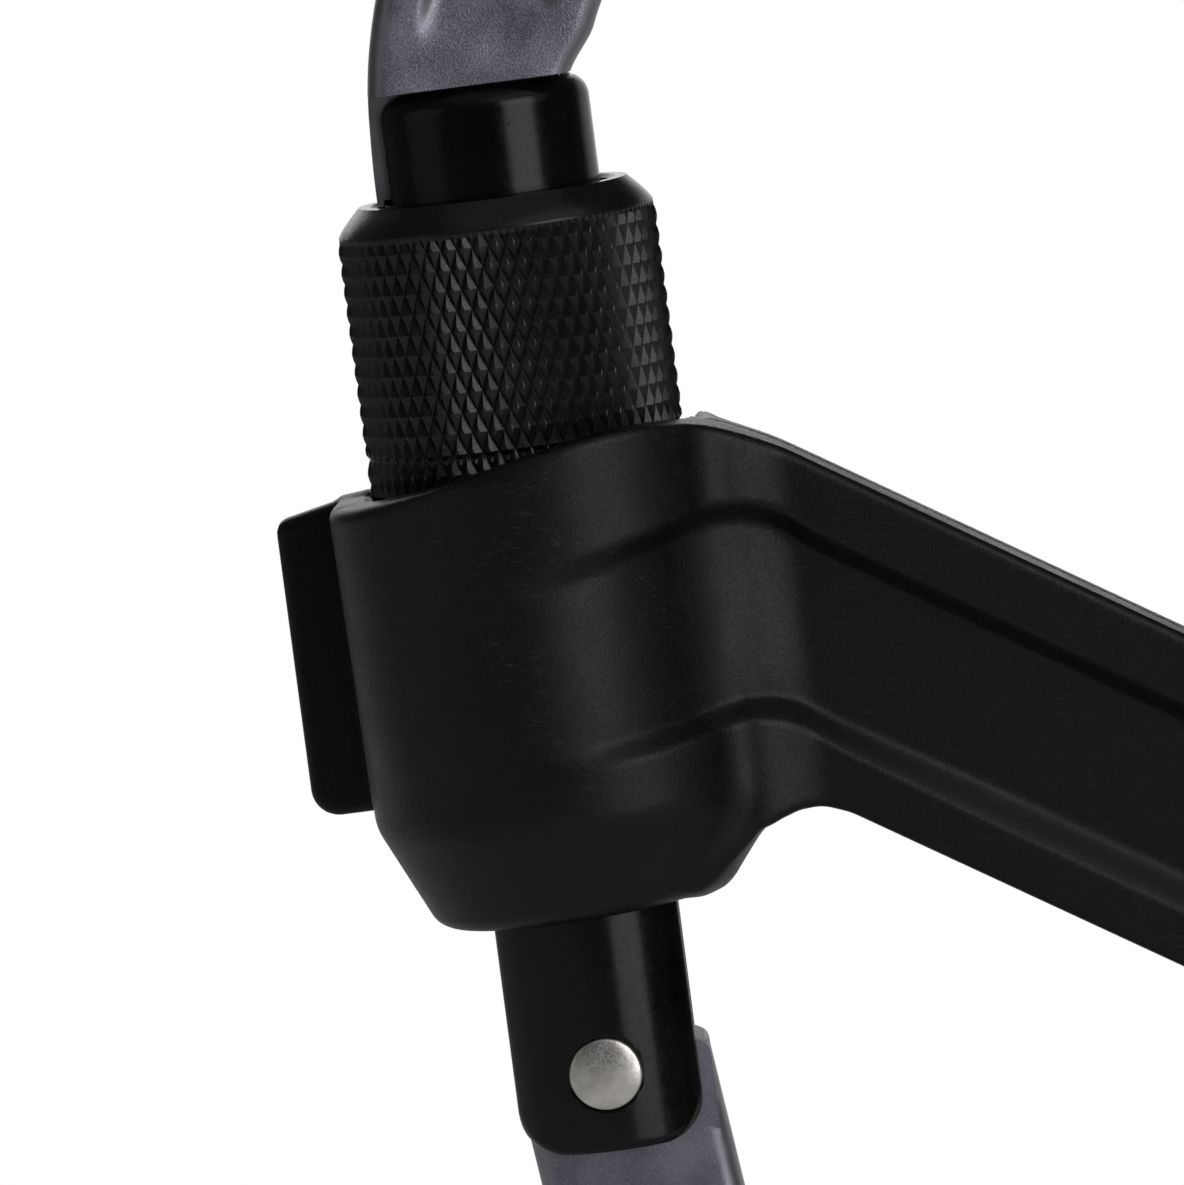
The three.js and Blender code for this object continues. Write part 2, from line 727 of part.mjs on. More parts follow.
function cupHollow() {
  const bore = sleeveRadius + gap;
  const exit = gateRadius + gap;
  return turned([
    [0, cupFoot - overrun], [exit, cupFoot - overrun], [exit, funnelFoot], [bore, funnelTop],
    [bore, rimHigh + overrun], [0, rimHigh + overrun],
  ], roundSteps + smallSteps);
}

// The wall behind the cup's left side, and the thumb tab that stands out from it.
function legAndTab() {
  const inner = sleeveRadius + cheekGap;
  const leg = block([-legOuter, -inner], [-gap, legDepth], [legFoot, legTop]);
  const tab = roundedRect(
    [-tabReach, -inner], [tabTop - tabHeight, tabTop], [tabFootCorner, 0, 0, tabCorner],
  );
  const root = roundedRect(
    [-legOuter - tabRoot / 2, -inner], [legFoot, tabTop - tabFootCorner], [tabCorner, 0, 0, tabCorner],
  );
  return leg
    .add(plate(tab, legDepth - tabThickness, legDepth))
    .add(plate(root, legDepth - tabThickness - tabRoot / 2, legDepth));
}

const screwReaches = [screwFromGate, armReach - collarRadius - screwFromCollar];
const screwPlaces = screwReaches.flatMap((reach) => [
  onArm(reach, armHeight / 2 - screwInset), onArm(reach + lowerScrewShift, screwInset - armHeight / 2),
]);

function screwHoles() {
  return screwPlaces.map(([x, z]) => {
    const foot = armBack - screwRecess - screwHeadHeight;
    const head = crossPin(screwHeadRadius + gap, x, z, foot - gap, armBack + overrun);
    return head.add(crossPin(screwRadius + gap, x, z, armBack - screwLength - 2 * gap, armBack));
  });
}

function clipShells() {
  const far = [shellStart, spinePlace.x + armHeight * 2];
  const tall = [-armReach, armReach];
  const frontCut = block(far, [gap / 2 - armSeam - gap, cupRadius + overrun], tall);
  const rearSide = block([shellStart + gap, far[1]], [gap / 2 - armSeam, cupRadius + overrun], tall);
  const back = block(
    [-sleeveRadius - cheekGap, sleeveRadius + cheekGap + gap], [0, cupRadius + overrun], tall,
  );
  const farSide = block([0, far[1]], [armBack, cupRadius + overrun], tall);
  const arm = wholeArm();
  const holes = screwHoles();
  const front = cupWall().subtract(farSide)
    .add(legAndTab())
    .add(arm.subtract(frontCut))
    .subtract(cupHollow())
    .subtract(back)
    .subtract(panelCut());
  const cutAll = (made) => holes.reduce((rest, hole) => rest.subtract(hole), made);
  return { front: cutAll(front), rear: cutAll(arm.intersect(rearSide)) };
}

function shellScrew() {
  const shank = rod(screwRadius, 0, screwLength - screwRecess - gap, smallSteps);
  const top = screwLength - screwRecess - gap;
  const head = rod(screwHeadRadius, top - screwHeadHeight, top, smallSteps);
  const socket = rod(screwSocketRadius, top - screwSocketDepth, top + overrun, screwSocketSides);
  return shank.add(head).subtract(socket).rotate([-90, 0, 0]);
}

// One half of the split bush, which fills the bar's hollows and makes it round for the collar.
function bushHalf(side) {
  const half = collarLength / 2 + gap;
  const end = half + bushFlangeWidth;
  const flange = journalRadius + bushFlange;
  const round = turned([
    [0, -end], [flange, -end], [flange, -half], [journalRadius, -half],
    [journalRadius, half], [flange, half], [flange, end], [0, end],
  ]);
  const section = polygon(barSection(spineWidths, gap).map(([across, y]) => [-across, y]));
  const [y0, y1] = side < 0 ? [-flange - overrun, -gap / 2] : [gap / 2, flange + overrun];
  return round
    .subtract(prism(section, -end - overrun, end + overrun))
    .intersect(block([-flange - overrun, flange + overrun], [y0, y1], [-end - overrun, end + overrun]));
}

function gateGroup() {
  const group = new THREE.Group();
  group.rotation.y = -gateLean;
  group.add(
    piece("hinge_rivet", hingeRivet(), materials.rivetSteel),
    piece("gate_tube", gateTube(), materials.blackAnodised),
    piece("gate_plunger", gatePlunger(), materials.brass),
    piece("gate_spring", gateSpring(), materials.springSteel),
    piece("screw_sleeve", screwSleeve(), materials.blackAnodised),
    piece("sleeve_liner", sleeveLiner(), materials.brass),
    piece("sleeve_stop_ring", stopRing(), materials.springSteel),
  );
  return group;
}

function clipGroup() {
  const group = new THREE.Group();
  group.rotation.y = -gateLean;
  const { front, rear } = clipShells();
  group.add(
    piece("clip_front_shell", front, materials.nylon),
    piece("clip_rear_shell", rear, materials.nylon),
  );
  const names = ["cup_upper", "cup_lower", "collar_upper", "collar_lower"];
  const screw = shellScrew();
  screwPlaces.forEach(([x, z], i) => {
    const mesh = piece(`clip_screw_${names[i]}`, screw, materials.springSteel);
    mesh.position.set(x, armBack - screwLength + gap, z);
    group.add(mesh);
  });
  return group;
}

function spineGroup() {
  const group = new THREE.Group();
  const place = fromGate(spinePlace.x, spinePlace.y);
  group.position.set(place.x, 0, place.y);
  group.rotation.y = spineLean;
  group.add(
    piece("spine_bush_front", bushHalf(-1), materials.acetal),
    piece("spine_bush_rear", bushHalf(1), materials.acetal),
  );
  return group;
}

const device = new THREE.Group();
device.position.set(-hangingPoint.x, 0, -hangingPoint.y);
device.add(
  piece("carabiner_frame", carabinerFrame(), materials.forging), gateGroup(), clipGroup(), spineGroup(),
);

const root = new THREE.Group();
root.add(device);
export default root;
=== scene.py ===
"""A pear-shaped belay carabiner with a screw gate and a moulded clip that swings on its spine.

Sizes are in millimetres and turn into metres where a mesh is made. The front is towards -Y, the
gate is on the left (-X), and the origin is inside the crown, where the carabiner hangs.
"""
from __future__ import annotations

import enum
import json
import logging
import math
from dataclasses import dataclass, field
from functools import reduce
from typing import Any, Callable, Mapping, Sequence

import bpy
import numpy as np
import openvdb as vdb
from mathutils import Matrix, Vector

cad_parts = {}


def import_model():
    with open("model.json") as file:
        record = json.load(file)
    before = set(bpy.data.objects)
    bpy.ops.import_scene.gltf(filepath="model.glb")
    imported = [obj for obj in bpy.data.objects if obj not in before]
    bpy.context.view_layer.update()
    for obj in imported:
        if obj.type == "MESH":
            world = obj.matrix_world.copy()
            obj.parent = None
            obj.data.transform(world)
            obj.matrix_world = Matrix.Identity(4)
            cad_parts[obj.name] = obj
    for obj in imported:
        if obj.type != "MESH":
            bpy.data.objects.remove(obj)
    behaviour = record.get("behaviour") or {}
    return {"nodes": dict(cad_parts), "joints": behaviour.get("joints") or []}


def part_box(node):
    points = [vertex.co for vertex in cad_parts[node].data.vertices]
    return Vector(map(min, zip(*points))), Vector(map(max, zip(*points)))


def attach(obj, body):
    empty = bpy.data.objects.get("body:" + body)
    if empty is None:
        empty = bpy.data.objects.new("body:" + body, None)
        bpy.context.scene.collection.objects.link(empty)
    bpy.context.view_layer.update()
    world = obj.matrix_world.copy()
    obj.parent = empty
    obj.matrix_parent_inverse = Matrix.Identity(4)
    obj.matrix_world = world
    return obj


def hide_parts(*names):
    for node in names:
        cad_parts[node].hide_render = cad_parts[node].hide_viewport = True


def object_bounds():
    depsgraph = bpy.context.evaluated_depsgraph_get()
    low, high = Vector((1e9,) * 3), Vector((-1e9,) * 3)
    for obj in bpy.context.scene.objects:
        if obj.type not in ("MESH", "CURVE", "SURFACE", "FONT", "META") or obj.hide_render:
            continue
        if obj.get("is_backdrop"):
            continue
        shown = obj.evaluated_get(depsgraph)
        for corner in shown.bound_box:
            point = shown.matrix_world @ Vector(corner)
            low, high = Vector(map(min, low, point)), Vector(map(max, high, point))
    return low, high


log = logging.getLogger("belay_carabiner")

METRES = 0.001
TURN = 2 * math.pi
# The gap beside parts that move, and a distance that counts as far inside
GAP = 0.3
DEEP = -9.0
GATE_LEAN = math.radians(-7.4)
GATE_UP = (-0.1288, 0.0, 0.99167)
GATE_RIGHT = (0.99167, 0.0, 0.1288)
WHITE = (1.0, 1.0, 1.0)
Array = np.ndarray
Place = tuple[Array, Array, Array]
Field = Callable[[Place], Array]
Pair = tuple[float, float]
Triple = tuple[float, float, float]
Outline = Sequence[Pair]
Colour = tuple[float, float, float, float]


# Shader maths


def grey(level: float, tint: Triple = WHITE) -> Colour:
    """A grey of a level, tinted."""
    return (level * tint[0], level * tint[1], level * tint[2], 1.0)


class Channel:
    """A socket of a shader node, which expressions can be written with."""

    def __init__(self, graph: "Graph", socket: bpy.types.NodeSocket | None) -> None:
        """Wraps a socket.

        Args:
            graph: the graph that the socket's node is in.
            socket: an output socket, or nothing for a node without one.
        """
        self.graph = graph
        self.socket = socket

    def _with(self, operation: str, first: Any, second: Any) -> "Channel":
        """Adds a Math node, or a Vector Math node where either side is a vector.

        Args:
            operation: the node's operation.
            first: left side, a channel or a number.
            second: right side, a channel or a number.

        Returns:
            The node's result.
        """
        vectors = any(isinstance(v, Channel) and v.socket.type == "VECTOR" for v in (first, second))
        if not vectors:
            return self.graph.node("ShaderNodeMath", {"operation": operation}, {0: first, 1: second})
        sides = [v if isinstance(v, Channel) else (v, v, v) for v in (first, second)]
        return self.graph.node("ShaderNodeVectorMath", {"operation": operation}, dict(enumerate(sides)))

    def __add__(self, other: Any) -> "Channel":
        """The sum."""
        return self._with("ADD", self, other)

    def __radd__(self, other: Any) -> "Channel":
        """The sum, from the right."""
        return self._with("ADD", other, self)

    def __sub__(self, other: Any) -> "Channel":
        """The difference."""
        return self._with("SUBTRACT", self, other)

    def __rsub__(self, other: Any) -> "Channel":
        """The difference, from the right."""
        return self._with("SUBTRACT", other, self)

    def __mul__(self, other: Any) -> "Channel":
        """The product."""
        return self._with("MULTIPLY", self, other)

    def __rmul__(self, other: Any) -> "Channel":
        """The product, from the right."""
        return self._with("MULTIPLY", other, self)

    def maximum(self, other: Any) -> "Channel":
        """The larger of the two."""
        return self._with("MAXIMUM", self, other)

    def dot(self, other: Sequence[float]) -> "Channel":
        """The dot product with a fixed direction."""
        return self.graph.node(
            "ShaderNodeVectorMath", {"operation": "DOT_PRODUCT"}, {0: self, 1: other}, "Value"
        )

    def ramp(self, low: float, high: float, to_low: float = 0.0, to_high: float = 1.0) -> "Channel":
        """Maps a range smoothly onto another and stays within it.

        Args:
            low: value that gives to_low.
            high: value that gives to_high.
            to_low: first result.
            to_high: last result.

        Returns:
            The mapped value.
        """
        settings = {"interpolation_type": "SMOOTHSTEP"}
        return self.graph.node(
            "ShaderNodeMapRange", settings, {0: self, 1: low, 2: high, 3: to_low, 4: to_high}
        )


class Graph:
    """The nodes of one material or of the world."""

    scratch_edge = 0.03

    def __init__(self, tree: bpy.types.NodeTree) -> None:
        """Starts an empty tree.

        Args:
            tree: the node tree.
        """
        self.tree = tree
        tree.nodes.clear()

    def node(
        self,
        kind: str,
        settings: Mapping[str, Any] | None = None,
        inputs: Mapping[int | str, Any] | None = None,
        output: int | str = 0,
    ) -> Channel:
        """Adds a node.

        Args:
            kind: the node's type.
            settings: its properties, which are set first.
            inputs: values or channels for its sockets.
            output: the socket that is given back.

        Returns:
            That output as a channel.
        """
        made = self.tree.nodes.new(kind)
        for name, value in (settings or {}).items():
            setattr(made, name, value)
        for name, value in (inputs or {}).items():
            if isinstance(value, Channel):
                self.tree.links.new(value.socket, made.inputs[name])
            else:
                made.inputs[name].default_value = value
        return Channel(self, made.outputs[output] if made.outputs else None)

    def millimetres(self) -> Channel:
        """The place on the piece, in millimetres."""
        return self.node("ShaderNodeTexCoord", output="Object") * (1 / METRES)

    def ray(self, kind: str) -> Channel:
        """1 for a kind of ray, such as Is Camera Ray, otherwise 0."""
        return self.node("ShaderNodeLightPath", output=kind)

    def noise(self, at: Channel, per_mm: float, detail: float = 2.0, roughness: float = 0.5) -> Channel:
        """Cloudy noise.

        Args:
            at: place in millimetres.
            per_mm: how many blotches fit in a millimetre.
            detail: octaves.
            roughness: weight of the finer octaves.

        Returns:
            A value round a half.
        """
        inputs = {"Vector": at, "Scale": per_mm, "Detail": detail, "Roughness": roughness}
        return self.node("ShaderNodeTexNoise", {}, inputs)

    def blend(self, share: Any, first: Any, second: Any) -> Channel:
        """Mixes two colours.

        Args:
            share: how much of the second.
            first: colour or channel.
            second: colour or channel.

        Returns:
            The mixed colour.
        """
        settings = {"data_type": "RGBA", "clamp_factor": True}
        return self.node("ShaderNodeMix", settings, {0: share, 6: first, 7: second}, 2)

    def mottled(self, share: Channel, level: float, spread: Pair, tint: Triple = WHITE) -> Channel:
        """A grey that varies between two shares of its level."""
        return self.blend(share, grey(level * spread[0], tint), grey(level * spread[1], tint))

    def bump(self, height: Channel, depth_mm: float, under: Channel | None = None) -> Channel:
        """A normal from a height.

        Args:
            height: height from 0 to 1.
            depth_mm: how high 1 stands.
            under: normal that it goes on.

        Returns:
            The normal.
        """
        inputs: dict[int | str, Any] = {"Height": height, "Distance": depth_mm * METRES, "Strength": 1.0}
        if under is not None:
            inputs["Normal"] = under
        return self.node("ShaderNodeBump", {}, inputs)

    def scratches(self, at: Channel, turn: float, stretch: float, per_mm: float, cut: float) -> Channel:
        """Fine straight scratches in one direction.

        Args:
            at: place in millimetres.
            turn: direction in the front plane, in radians.
            stretch: how much longer than wide they are.
            per_mm: how many fit side by side in a millimetre.
            cut: how few there are, 0.5 for many.

        Returns:
            1 in a scratch, otherwise 0.
        """
        settings = {"vector_type": "POINT"}
        inputs = {"Vector": at, "Rotation": (0, turn, 0), "Scale": (per_mm / stretch, per_mm, per_mm)}
        along = self.node("ShaderNodeMapping", settings, inputs)
        return self.noise(along, 1.0, 1.0).ramp(cut, cut + self.scratch_edge)

    def surface(self, inputs: Mapping[str, Any]) -> None:
        """Ends a material in one Principled shader with these sockets set."""
        shader = self.node("ShaderNodeBsdfPrincipled", {}, inputs)
        self.node("ShaderNodeOutputMaterial", {}, {"Surface": shader})


# Finishes


class Slot(enum.Enum):
    """Names of the record's material slots; no piece here is given one."""

    FORGING = "forging"
    BLACK = "black_anodised"
    RIVET = "rivet_steel"
    SPRING = "spring_steel"
    NYLON = "nylon"
    ACETAL = "acetal"


def begun(name: str) -> tuple[bpy.types.Material, Graph, Channel]:
    """Starts a material.

    Args:
        name: the material's name.

    Returns:
        The material, its graph, and the place on the piece in millimetres.
    """
    material = bpy.data.materials.new(name)
    material.use_nodes = True
    graph = Graph(material.node_tree)
    return material, graph, graph.millimetres()


@dataclass(frozen=True)
class BlastedForging:
    """Grey anodised aluminium with a fine blasted grain on the faces, bright flecks in its colour as painted
    sparkle, and plainer sides.

    Beside the gate's head, between two heights along the gate, the face has no grain.
    """

    level: float = 0.15
    tint: Triple = (0.99, 0.95, 1.17)
    side_tint: Triple = (1.0, 0.99, 1.05)
    face: Pair = (0.72, 0.97)
    grain_per_mm: float = 9.0
    grain_depth: float = 0.03
    cloud_per_mm: float = 0.35
    weak_at: float = -60.0
    strong_at: float = -40.0
    bare_heights: Pair = (-26.9, -17.4)
    bare_side: float = -40.4
    bare_fade: float = 0.3
    bare_foot_fade: float = 3.0

    def material(self) -> bpy.types.Material:
        """The finish as a material.

        Returns:
            The material.
        """
        material, graph, at = begun("forging_blasted_grey")
        facing = graph.node("ShaderNodeTexCoord", output="Normal").dot((0.0, 1.0, 0.0))
        along, across = at.dot(GATE_UP), at.dot(GATE_RIGHT)
        foot, top = self.bare_heights
        bare = across.ramp(self.bare_side, self.bare_side + self.bare_fade, 1.0, 0.0)
        bare = bare * along.ramp(top, top + self.bare_fade, 1.0, 0.0)
        bare = bare * along.ramp(foot - self.bare_foot_fade, foot)
        blasted = (facing * facing).ramp(*self.face) * (1 - bare)
        cloud = graph.noise(at, self.cloud_per_mm, 3.0)
        dull = cloud.ramp(0.3, 0.7, 0.38, 0.5)
        grain = graph.noise(at, self.grain_per_mm, 2.0, 0.7)
        # painted highlight: bright flecks lighten the colour to stand in for glints off the blasted grain
        painted_sparkle = graph.noise(at, self.grain_per_mm * 0.9, 0.0).ramp(0.6, 0.72)
        strong = at.dot((0.0, 0.0, 1.0)).ramp(self.weak_at, self.strong_at, 0.45, 1.0) * blasted
        share = cloud.ramp(0.3, 0.7) * 0.35 + grain.ramp(0.32, 0.68) * strong * 0.6
        side, dark = grey(self.level * 0.95, self.side_tint), grey(self.level * 0.62, self.tint)
        colour = graph.blend(share, graph.blend(blasted, side, dark), grey(self.level * 1.5, self.tint))
        colour = graph.blend(painted_sparkle * strong * 0.25, colour, grey(self.level * 2.8, self.tint))
        normal = graph.bump(grain * strong, self.grain_depth)
        graph.surface({"Base Color": colour, "Metallic": 0.75, "Roughness": dull, "Normal": normal})
        return material


@dataclass(frozen=True)
class GlossyAnodised:
    """Glossy black anodised tube, with faint rubs and specks."""

    level: float = 0.0018
    roughness: float = 0.19
    gloss: float = 0.15
    cloud_per_mm: float = 0.25
    speck_per_mm: float = 3.0
    speck_depth: float = 0.002

    def material(self) -> bpy.types.Material:
        """The finish as a material.

        Returns:
            The material.
        """
        material, graph, at = begun("gate_glossy_black")
        cloud = graph.noise(at, self.cloud_per_mm).ramp(0.35, 0.65)
        specks = graph.noise(at, self.speck_per_mm, 2.0, 0.7)
        rubs = graph.scratches(at, 1.2, 14.0, 3.0, 0.74)
        graph.surface({
            "Base Color": graph.mottled(cloud, self.level, (0.7, 1.4)),
            "Roughness": specks.ramp(0.3, 0.8, self.roughness * 0.85, self.roughness * 1.35) + rubs * 0.12,
            "Normal": graph.bump(specks, self.speck_depth),
            "Specular IOR Level": self.gloss,
        })
        return material


@dataclass(frozen=True)
class KnurledAnodised:
    """Black anodised aluminium as it looks on cut knurling, duller than on the tube and the rim."""

    level: float = 0.003
    roughness: float = 0.32
    gloss: float = 0.24
    cloud_per_mm: float = 0.3
    grain_per_mm: float = 7.0
    grain_depth: float = 0.004
    worn_per_mm: float = 1.1
    rim_from: float = -24.9
    rim_fade: float = 0.15
    rim_polish: float = 0.1

    def material(self) -> bpy.types.Material:
        """The finish as a material.

        Returns:
            The material.
        """
        material, graph, at = begun("sleeve_knurled_black")
        cloud = graph.noise(at, self.cloud_per_mm).ramp(0.3, 0.7)
        grain = graph.noise(at, self.grain_per_mm, 2.0, 0.6)
        worn = graph.noise(at, self.worn_per_mm, 2.0, 0.6).ramp(0.6, 0.75)
        colour = graph.mottled(cloud, self.level, (0.7, 1.3))
        rim = at.dot(GATE_UP).ramp(self.rim_from, self.rim_from + self.rim_fade)
        dull = grain.ramp(0.3, 0.7, self.roughness * 0.8, self.roughness * 1.2)
        graph.surface({
            "Base Color": graph.blend(worn * 0.3, colour, grey(self.level * 3)),
            "Roughness": dull - rim * self.rim_polish,
            "Normal": graph.bump(grain, self.grain_depth),
            "Specular IOR Level": self.gloss,
        })
        return material


@dataclass(frozen=True)
class MouldedNylon:
    """Black moulded plastic with a fine grain, rubbed and scratched in use, the scuffs and scratches gathered
    round one spot on the cup, where their lighter colour also paints a highlight.

    Each group of scratches has a direction, a stretch, a number per millimetre and a cut.
    """

    level: float = 0.0022
    tint: Triple = (0.98, 1.0, 1.06)
    roughness: float = 0.44
    gloss: float = 0.16
    grain_depth: float = 0.018
    scratch_depth: float = 0.012
    worn_and_highlit_at: Triple = (-24.2, -9.5, -45.5)
    worn_and_highlit_reach: float = 15.0
    scratch_groups: tuple[tuple[float, float, float, float], ...] = (
        (0.4, 9.0, 9.0, 0.68), (-0.65, 8.0, 9.0, 0.69), (1.1, 14.0, 8.0, 0.67), (-1.25, 11.0, 9.0, 0.69),
    )

    def material(self) -> bpy.types.Material:
        """The finish as a material.

        Returns:
            The material.
        """
        material, graph, at = begun("clip_moulded_black")
        cloud = graph.noise(at, 0.16, 4.0, 0.6)
        patch = graph.noise(at, 0.55, 4.0, 0.65)
        grain = graph.noise(at, 6.0, 3.0, 0.6)
        sides = {0: at, 1: self.worn_and_highlit_at}
        away = graph.node("ShaderNodeVectorMath", {"operation": "DISTANCE"}, sides, "Value")
        # painted highlight: real scuffs and scratches, gathered and lightened round one spot on the cup's
        # upper right, also paint the highlight there
        where = patch.ramp(0.38, 0.62) * away.ramp(self.worn_and_highlit_reach * 0.3, self.worn_and_highlit_reach, 1.0, 0.3)
        groups = (graph.scratches(at, *group) for group in self.scratch_groups)
        scratch = reduce(Channel.maximum, groups) * where
        scuff_and_highlight = graph.noise(at, 2.6, 3.0, 0.7).ramp(0.56, 0.76) * where
        colour = graph.mottled(cloud.ramp(0.35, 0.65), self.level, (0.75, 1.35), self.tint)
        colour = graph.blend(scuff_and_highlight * 0.5, colour, grey(self.level * 5.0))
        dull = grain.ramp(0.3, 0.7, self.roughness - 0.06, self.roughness + 0.06)
        graph.surface({
            "Base Color": graph.blend(scratch * 0.7, colour, grey(self.level * 9.0)),
            "Roughness": dull - cloud.ramp(0.4, 0.7) * 0.08,
            "Normal": graph.bump(scratch, self.scratch_depth, graph.bump(grain, self.grain_depth)),
            "Specular IOR Level": self.gloss,
        })
        return material


@dataclass(frozen=True)
class BrightMetal:
    """Plain metal parts: rivet, ring, screws, spring, plunger and liner."""

    name: str
    base: Triple
    roughness: float
    grain_depth: float = 0.01
    dimples_per_mm: float = 1.3
    dimple_share: float = 8.0
    grain_per_mm: float = 9.0

    def material(self) -> bpy.types.Material:
        """The finish as a material.

        Returns:
            The material.
        """
        material, graph, at = begun(self.name)
        dimple = graph.noise(at, self.dimples_per_mm, 2.0, 0.55)
        grain = graph.noise(at, self.grain_per_mm, 2.0, 0.6)
        dull = tuple(c * 0.72 for c in self.base)
        dimpled = graph.bump(dimple, self.grain_depth * self.dimple_share)
        graph.surface({
            "Base Color": graph.blend(dimple.ramp(0.3, 0.7), (*dull, 1.0), (*self.base, 1.0)),
            "Metallic": 1.0,
            "Roughness": grain.ramp(0.3, 0.7, self.roughness * 0.85, self.roughness * 1.2),
            "Normal": graph.bump(grain, self.grain_depth, dimpled),
        })
        return material


@dataclass(frozen=True)
class SmoothAcetal:
    """Dark smooth plastic of the bush."""

    level: float = 0.02
    grain_depth: float = 0.004

    def material(self) -> bpy.types.Material:
        """The finish as a material.

        Returns:
            The material.
        """
        material, graph, at = begun("bush_smooth_dark")
        cloud = graph.noise(at, 0.4)
        graph.surface({
            "Base Color": graph.mottled(cloud.ramp(0.3, 0.7), self.level, (0.8, 1.3)),
            "Roughness": cloud.ramp(0.3, 0.7, 0.36, 0.46),
            "Normal": graph.bump(graph.noise(at, 5.0), self.grain_depth),
        })
        return material


Finish = BlastedForging | GlossyAnodised | KnurledAnodised | MouldedNylon | BrightMetal | SmoothAcetal


# Shapes


@dataclass(frozen=True)
class Placement:
    """A frame in the part: its origin and its x and z directions; its y is the part's own."""

    origin: Triple
    lean: float

    @property
    def axes(self) -> Array:
        """The x, y and z directions as rows."""
        c, s = math.cos(self.lean), math.sin(self.lean)
        return np.array([[c, 0.0, -s], [0.0, 1.0, 0.0], [s, 0.0, c]])

    def to_part(self, points: Array) -> Array:
        """Points of this frame in the part's frame."""
        return np.asarray(points, float) @ self.axes + np.array(self.origin)

    def from_part(self, points: Array) -> Array:
        """Points of the part's frame in this one."""
        return (np.asarray(points, float) - np.array(self.origin)) @ self.axes.T


@dataclass
class Solid:
    """A closed mesh, in millimetres."""

    points: Array
    faces: list[Sequence[int]]

    def placed(self, place: Placement) -> "Solid":
        """The solid, moved from a frame to the part's frame."""
        return Solid(place.to_part(self.points), self.faces)

    def laid(self, signs: Triple) -> "Solid":
        """The solid laid from z into y, with a sign for each new direction."""
        return Solid(self.points[:, (0, 2, 1)] * np.array(signs), self.faces)

    def mesh(self, name: str, sharp_angle: float) -> bpy.types.Mesh:
        """Makes the Blender mesh, smooth but for edges sharper than an angle.

        Args:
            name: the mesh's name.
            sharp_angle: angle in radians.

        Returns:
            The mesh.
        """
        mesh = bpy.data.meshes.new(name)
        mesh.from_pydata((self.points * METRES).tolist(), [], [list(f) for f in self.faces])
        mesh.validate()
        mesh.update()
        mesh.polygons.foreach_set("use_smooth", [True] * len(mesh.polygons))
        mesh.set_sharp_from_angle(angle=sharp_angle)
        return mesh


class Join(enum.Enum):
    """How a second solid changes a first."""

    ADD = "UNION"
    CUT = "DIFFERENCE"
    KEEP = "INTERSECT"


def linked(name: str, data: bpy.types.ID) -> bpy.types.Object:
    """Makes an object and puts it into the scene.

    Args:
        name: its name.
        data: its mesh, lamp or camera.

    Returns:
        The object.
    """
    made = bpy.data.objects.new(name, data)
    bpy.context.scene.collection.objects.link(made)
    return made


def joined(first: Solid, *changes: tuple[Join, Solid]) -> Solid:
    """Joins, cuts or trims a solid by others.

    Args:
        first: the solid to start from.
        changes: how, and by which solid, in order.

    Returns:
        The new solid.
    """
    base = linked("base", first.mesh("base", math.pi))
    used = [base]
    for how, other in changes:
        used.append(linked("tool", other.mesh("tool", math.pi)))
        change = base.modifiers.new("change", "BOOLEAN")
        change.operation = how.value
        change.object = used[-1]
        change.solver = "EXACT"
    mesh = base.evaluated_get(bpy.context.evaluated_depsgraph_get()).to_mesh()
    points = np.zeros(len(mesh.vertices) * 3)
    mesh.vertices.foreach_get("co", points)
    made = Solid(points.reshape(-1, 3) / METRES, [tuple(p.vertices) for p in mesh.polygons])
    for item in used:
        data = item.data
        bpy.data.objects.remove(item)
        bpy.data.meshes.remove(data)
    return made


def between(first: Any, last: Any, share: Any) -> Any:
    """What lies a share of the way from one value to another."""
    return first + (last - first) * share


def mirrored(half: Sequence[Triple], signs: Pair = (1, -1)) -> list[Triple]:
    """Half of an outline's corners, and the other half with these signs."""
    return [*half, *((x * signs[0], y * signs[1], setback) for x, y, setback in reversed(half))]


def softened(corners: Sequence[Triple], steps: int = 4) -> list[Pair]:
    """Rounds the corners of a closed outline.

    Args:
        corners: the outline's corners, each with how far before it its rounding starts.
        steps: points less one in each rounding.

    Returns:
        The outline with a fixed number of points for each corner.
    """
    points = np.array(corners, float)[:, :2]
    made = []
    for i, corner in enumerate(points):
        setback = corners[i][2]
        if setback <= 0:
            made.append(tuple(corner))
            continue
        ends = []
        for side in (points[i - 1] - corner, points[(i + 1) % len(points)] - corner):
            length = np.linalg.norm(side)
            ends.append(corner + side / max(length, 1e-9) * min(setback, 0.48 * length))
        for t in np.linspace(0.0, 1.0, steps + 1):
            made.append(tuple((1 - t) ** 2 * ends[0] + 2 * t * (1 - t) * corner + t * t * ends[1]))
    return made


def skin(rings: Sequence[Array], around: bool = False) -> Solid:
    """Joins rings of points into a closed solid.

    Args:
        rings: rings of equally many points.
        around: whether the last ring meets the first, otherwise both ends are capped.

    Returns:
        The solid.
    """
    count, turns = len(rings[0]), len(rings)
    faces: list[Sequence[int]] = []
    for k in range(turns if around else turns - 1):
        a, b = k * count, ((k + 1) % turns) * count
        for j in range(count):
            n = (j + 1) % count
            faces.append((a + j, a + n, b + n, b + j))
    if not around:
        faces.append(tuple(range(count))[::-1])
        faces.append(tuple(range((turns - 1) * count, turns * count)))
    return Solid(np.concatenate(rings), faces)


def turned(profile: Outline, steps: int = 96) -> Solid:
    """A solid of revolution about z.

    Args:
        profile: closed outline of radius and height, anticlockwise with the radius to the right.
        steps: points around.

    Returns:
        The solid. A profile that touches the axis is closed by a narrow spindle there.
    """
    radii, heights = np.array([(max(r, 1e-4), z) for r, z in profile]).T
    angles = np.linspace(0.0, TURN, steps, endpoint=False)
    rings = [np.column_stack([radii * math.cos(a), radii * math.sin(a), heights]) for a in angles]
    return skin(rings, around=True)


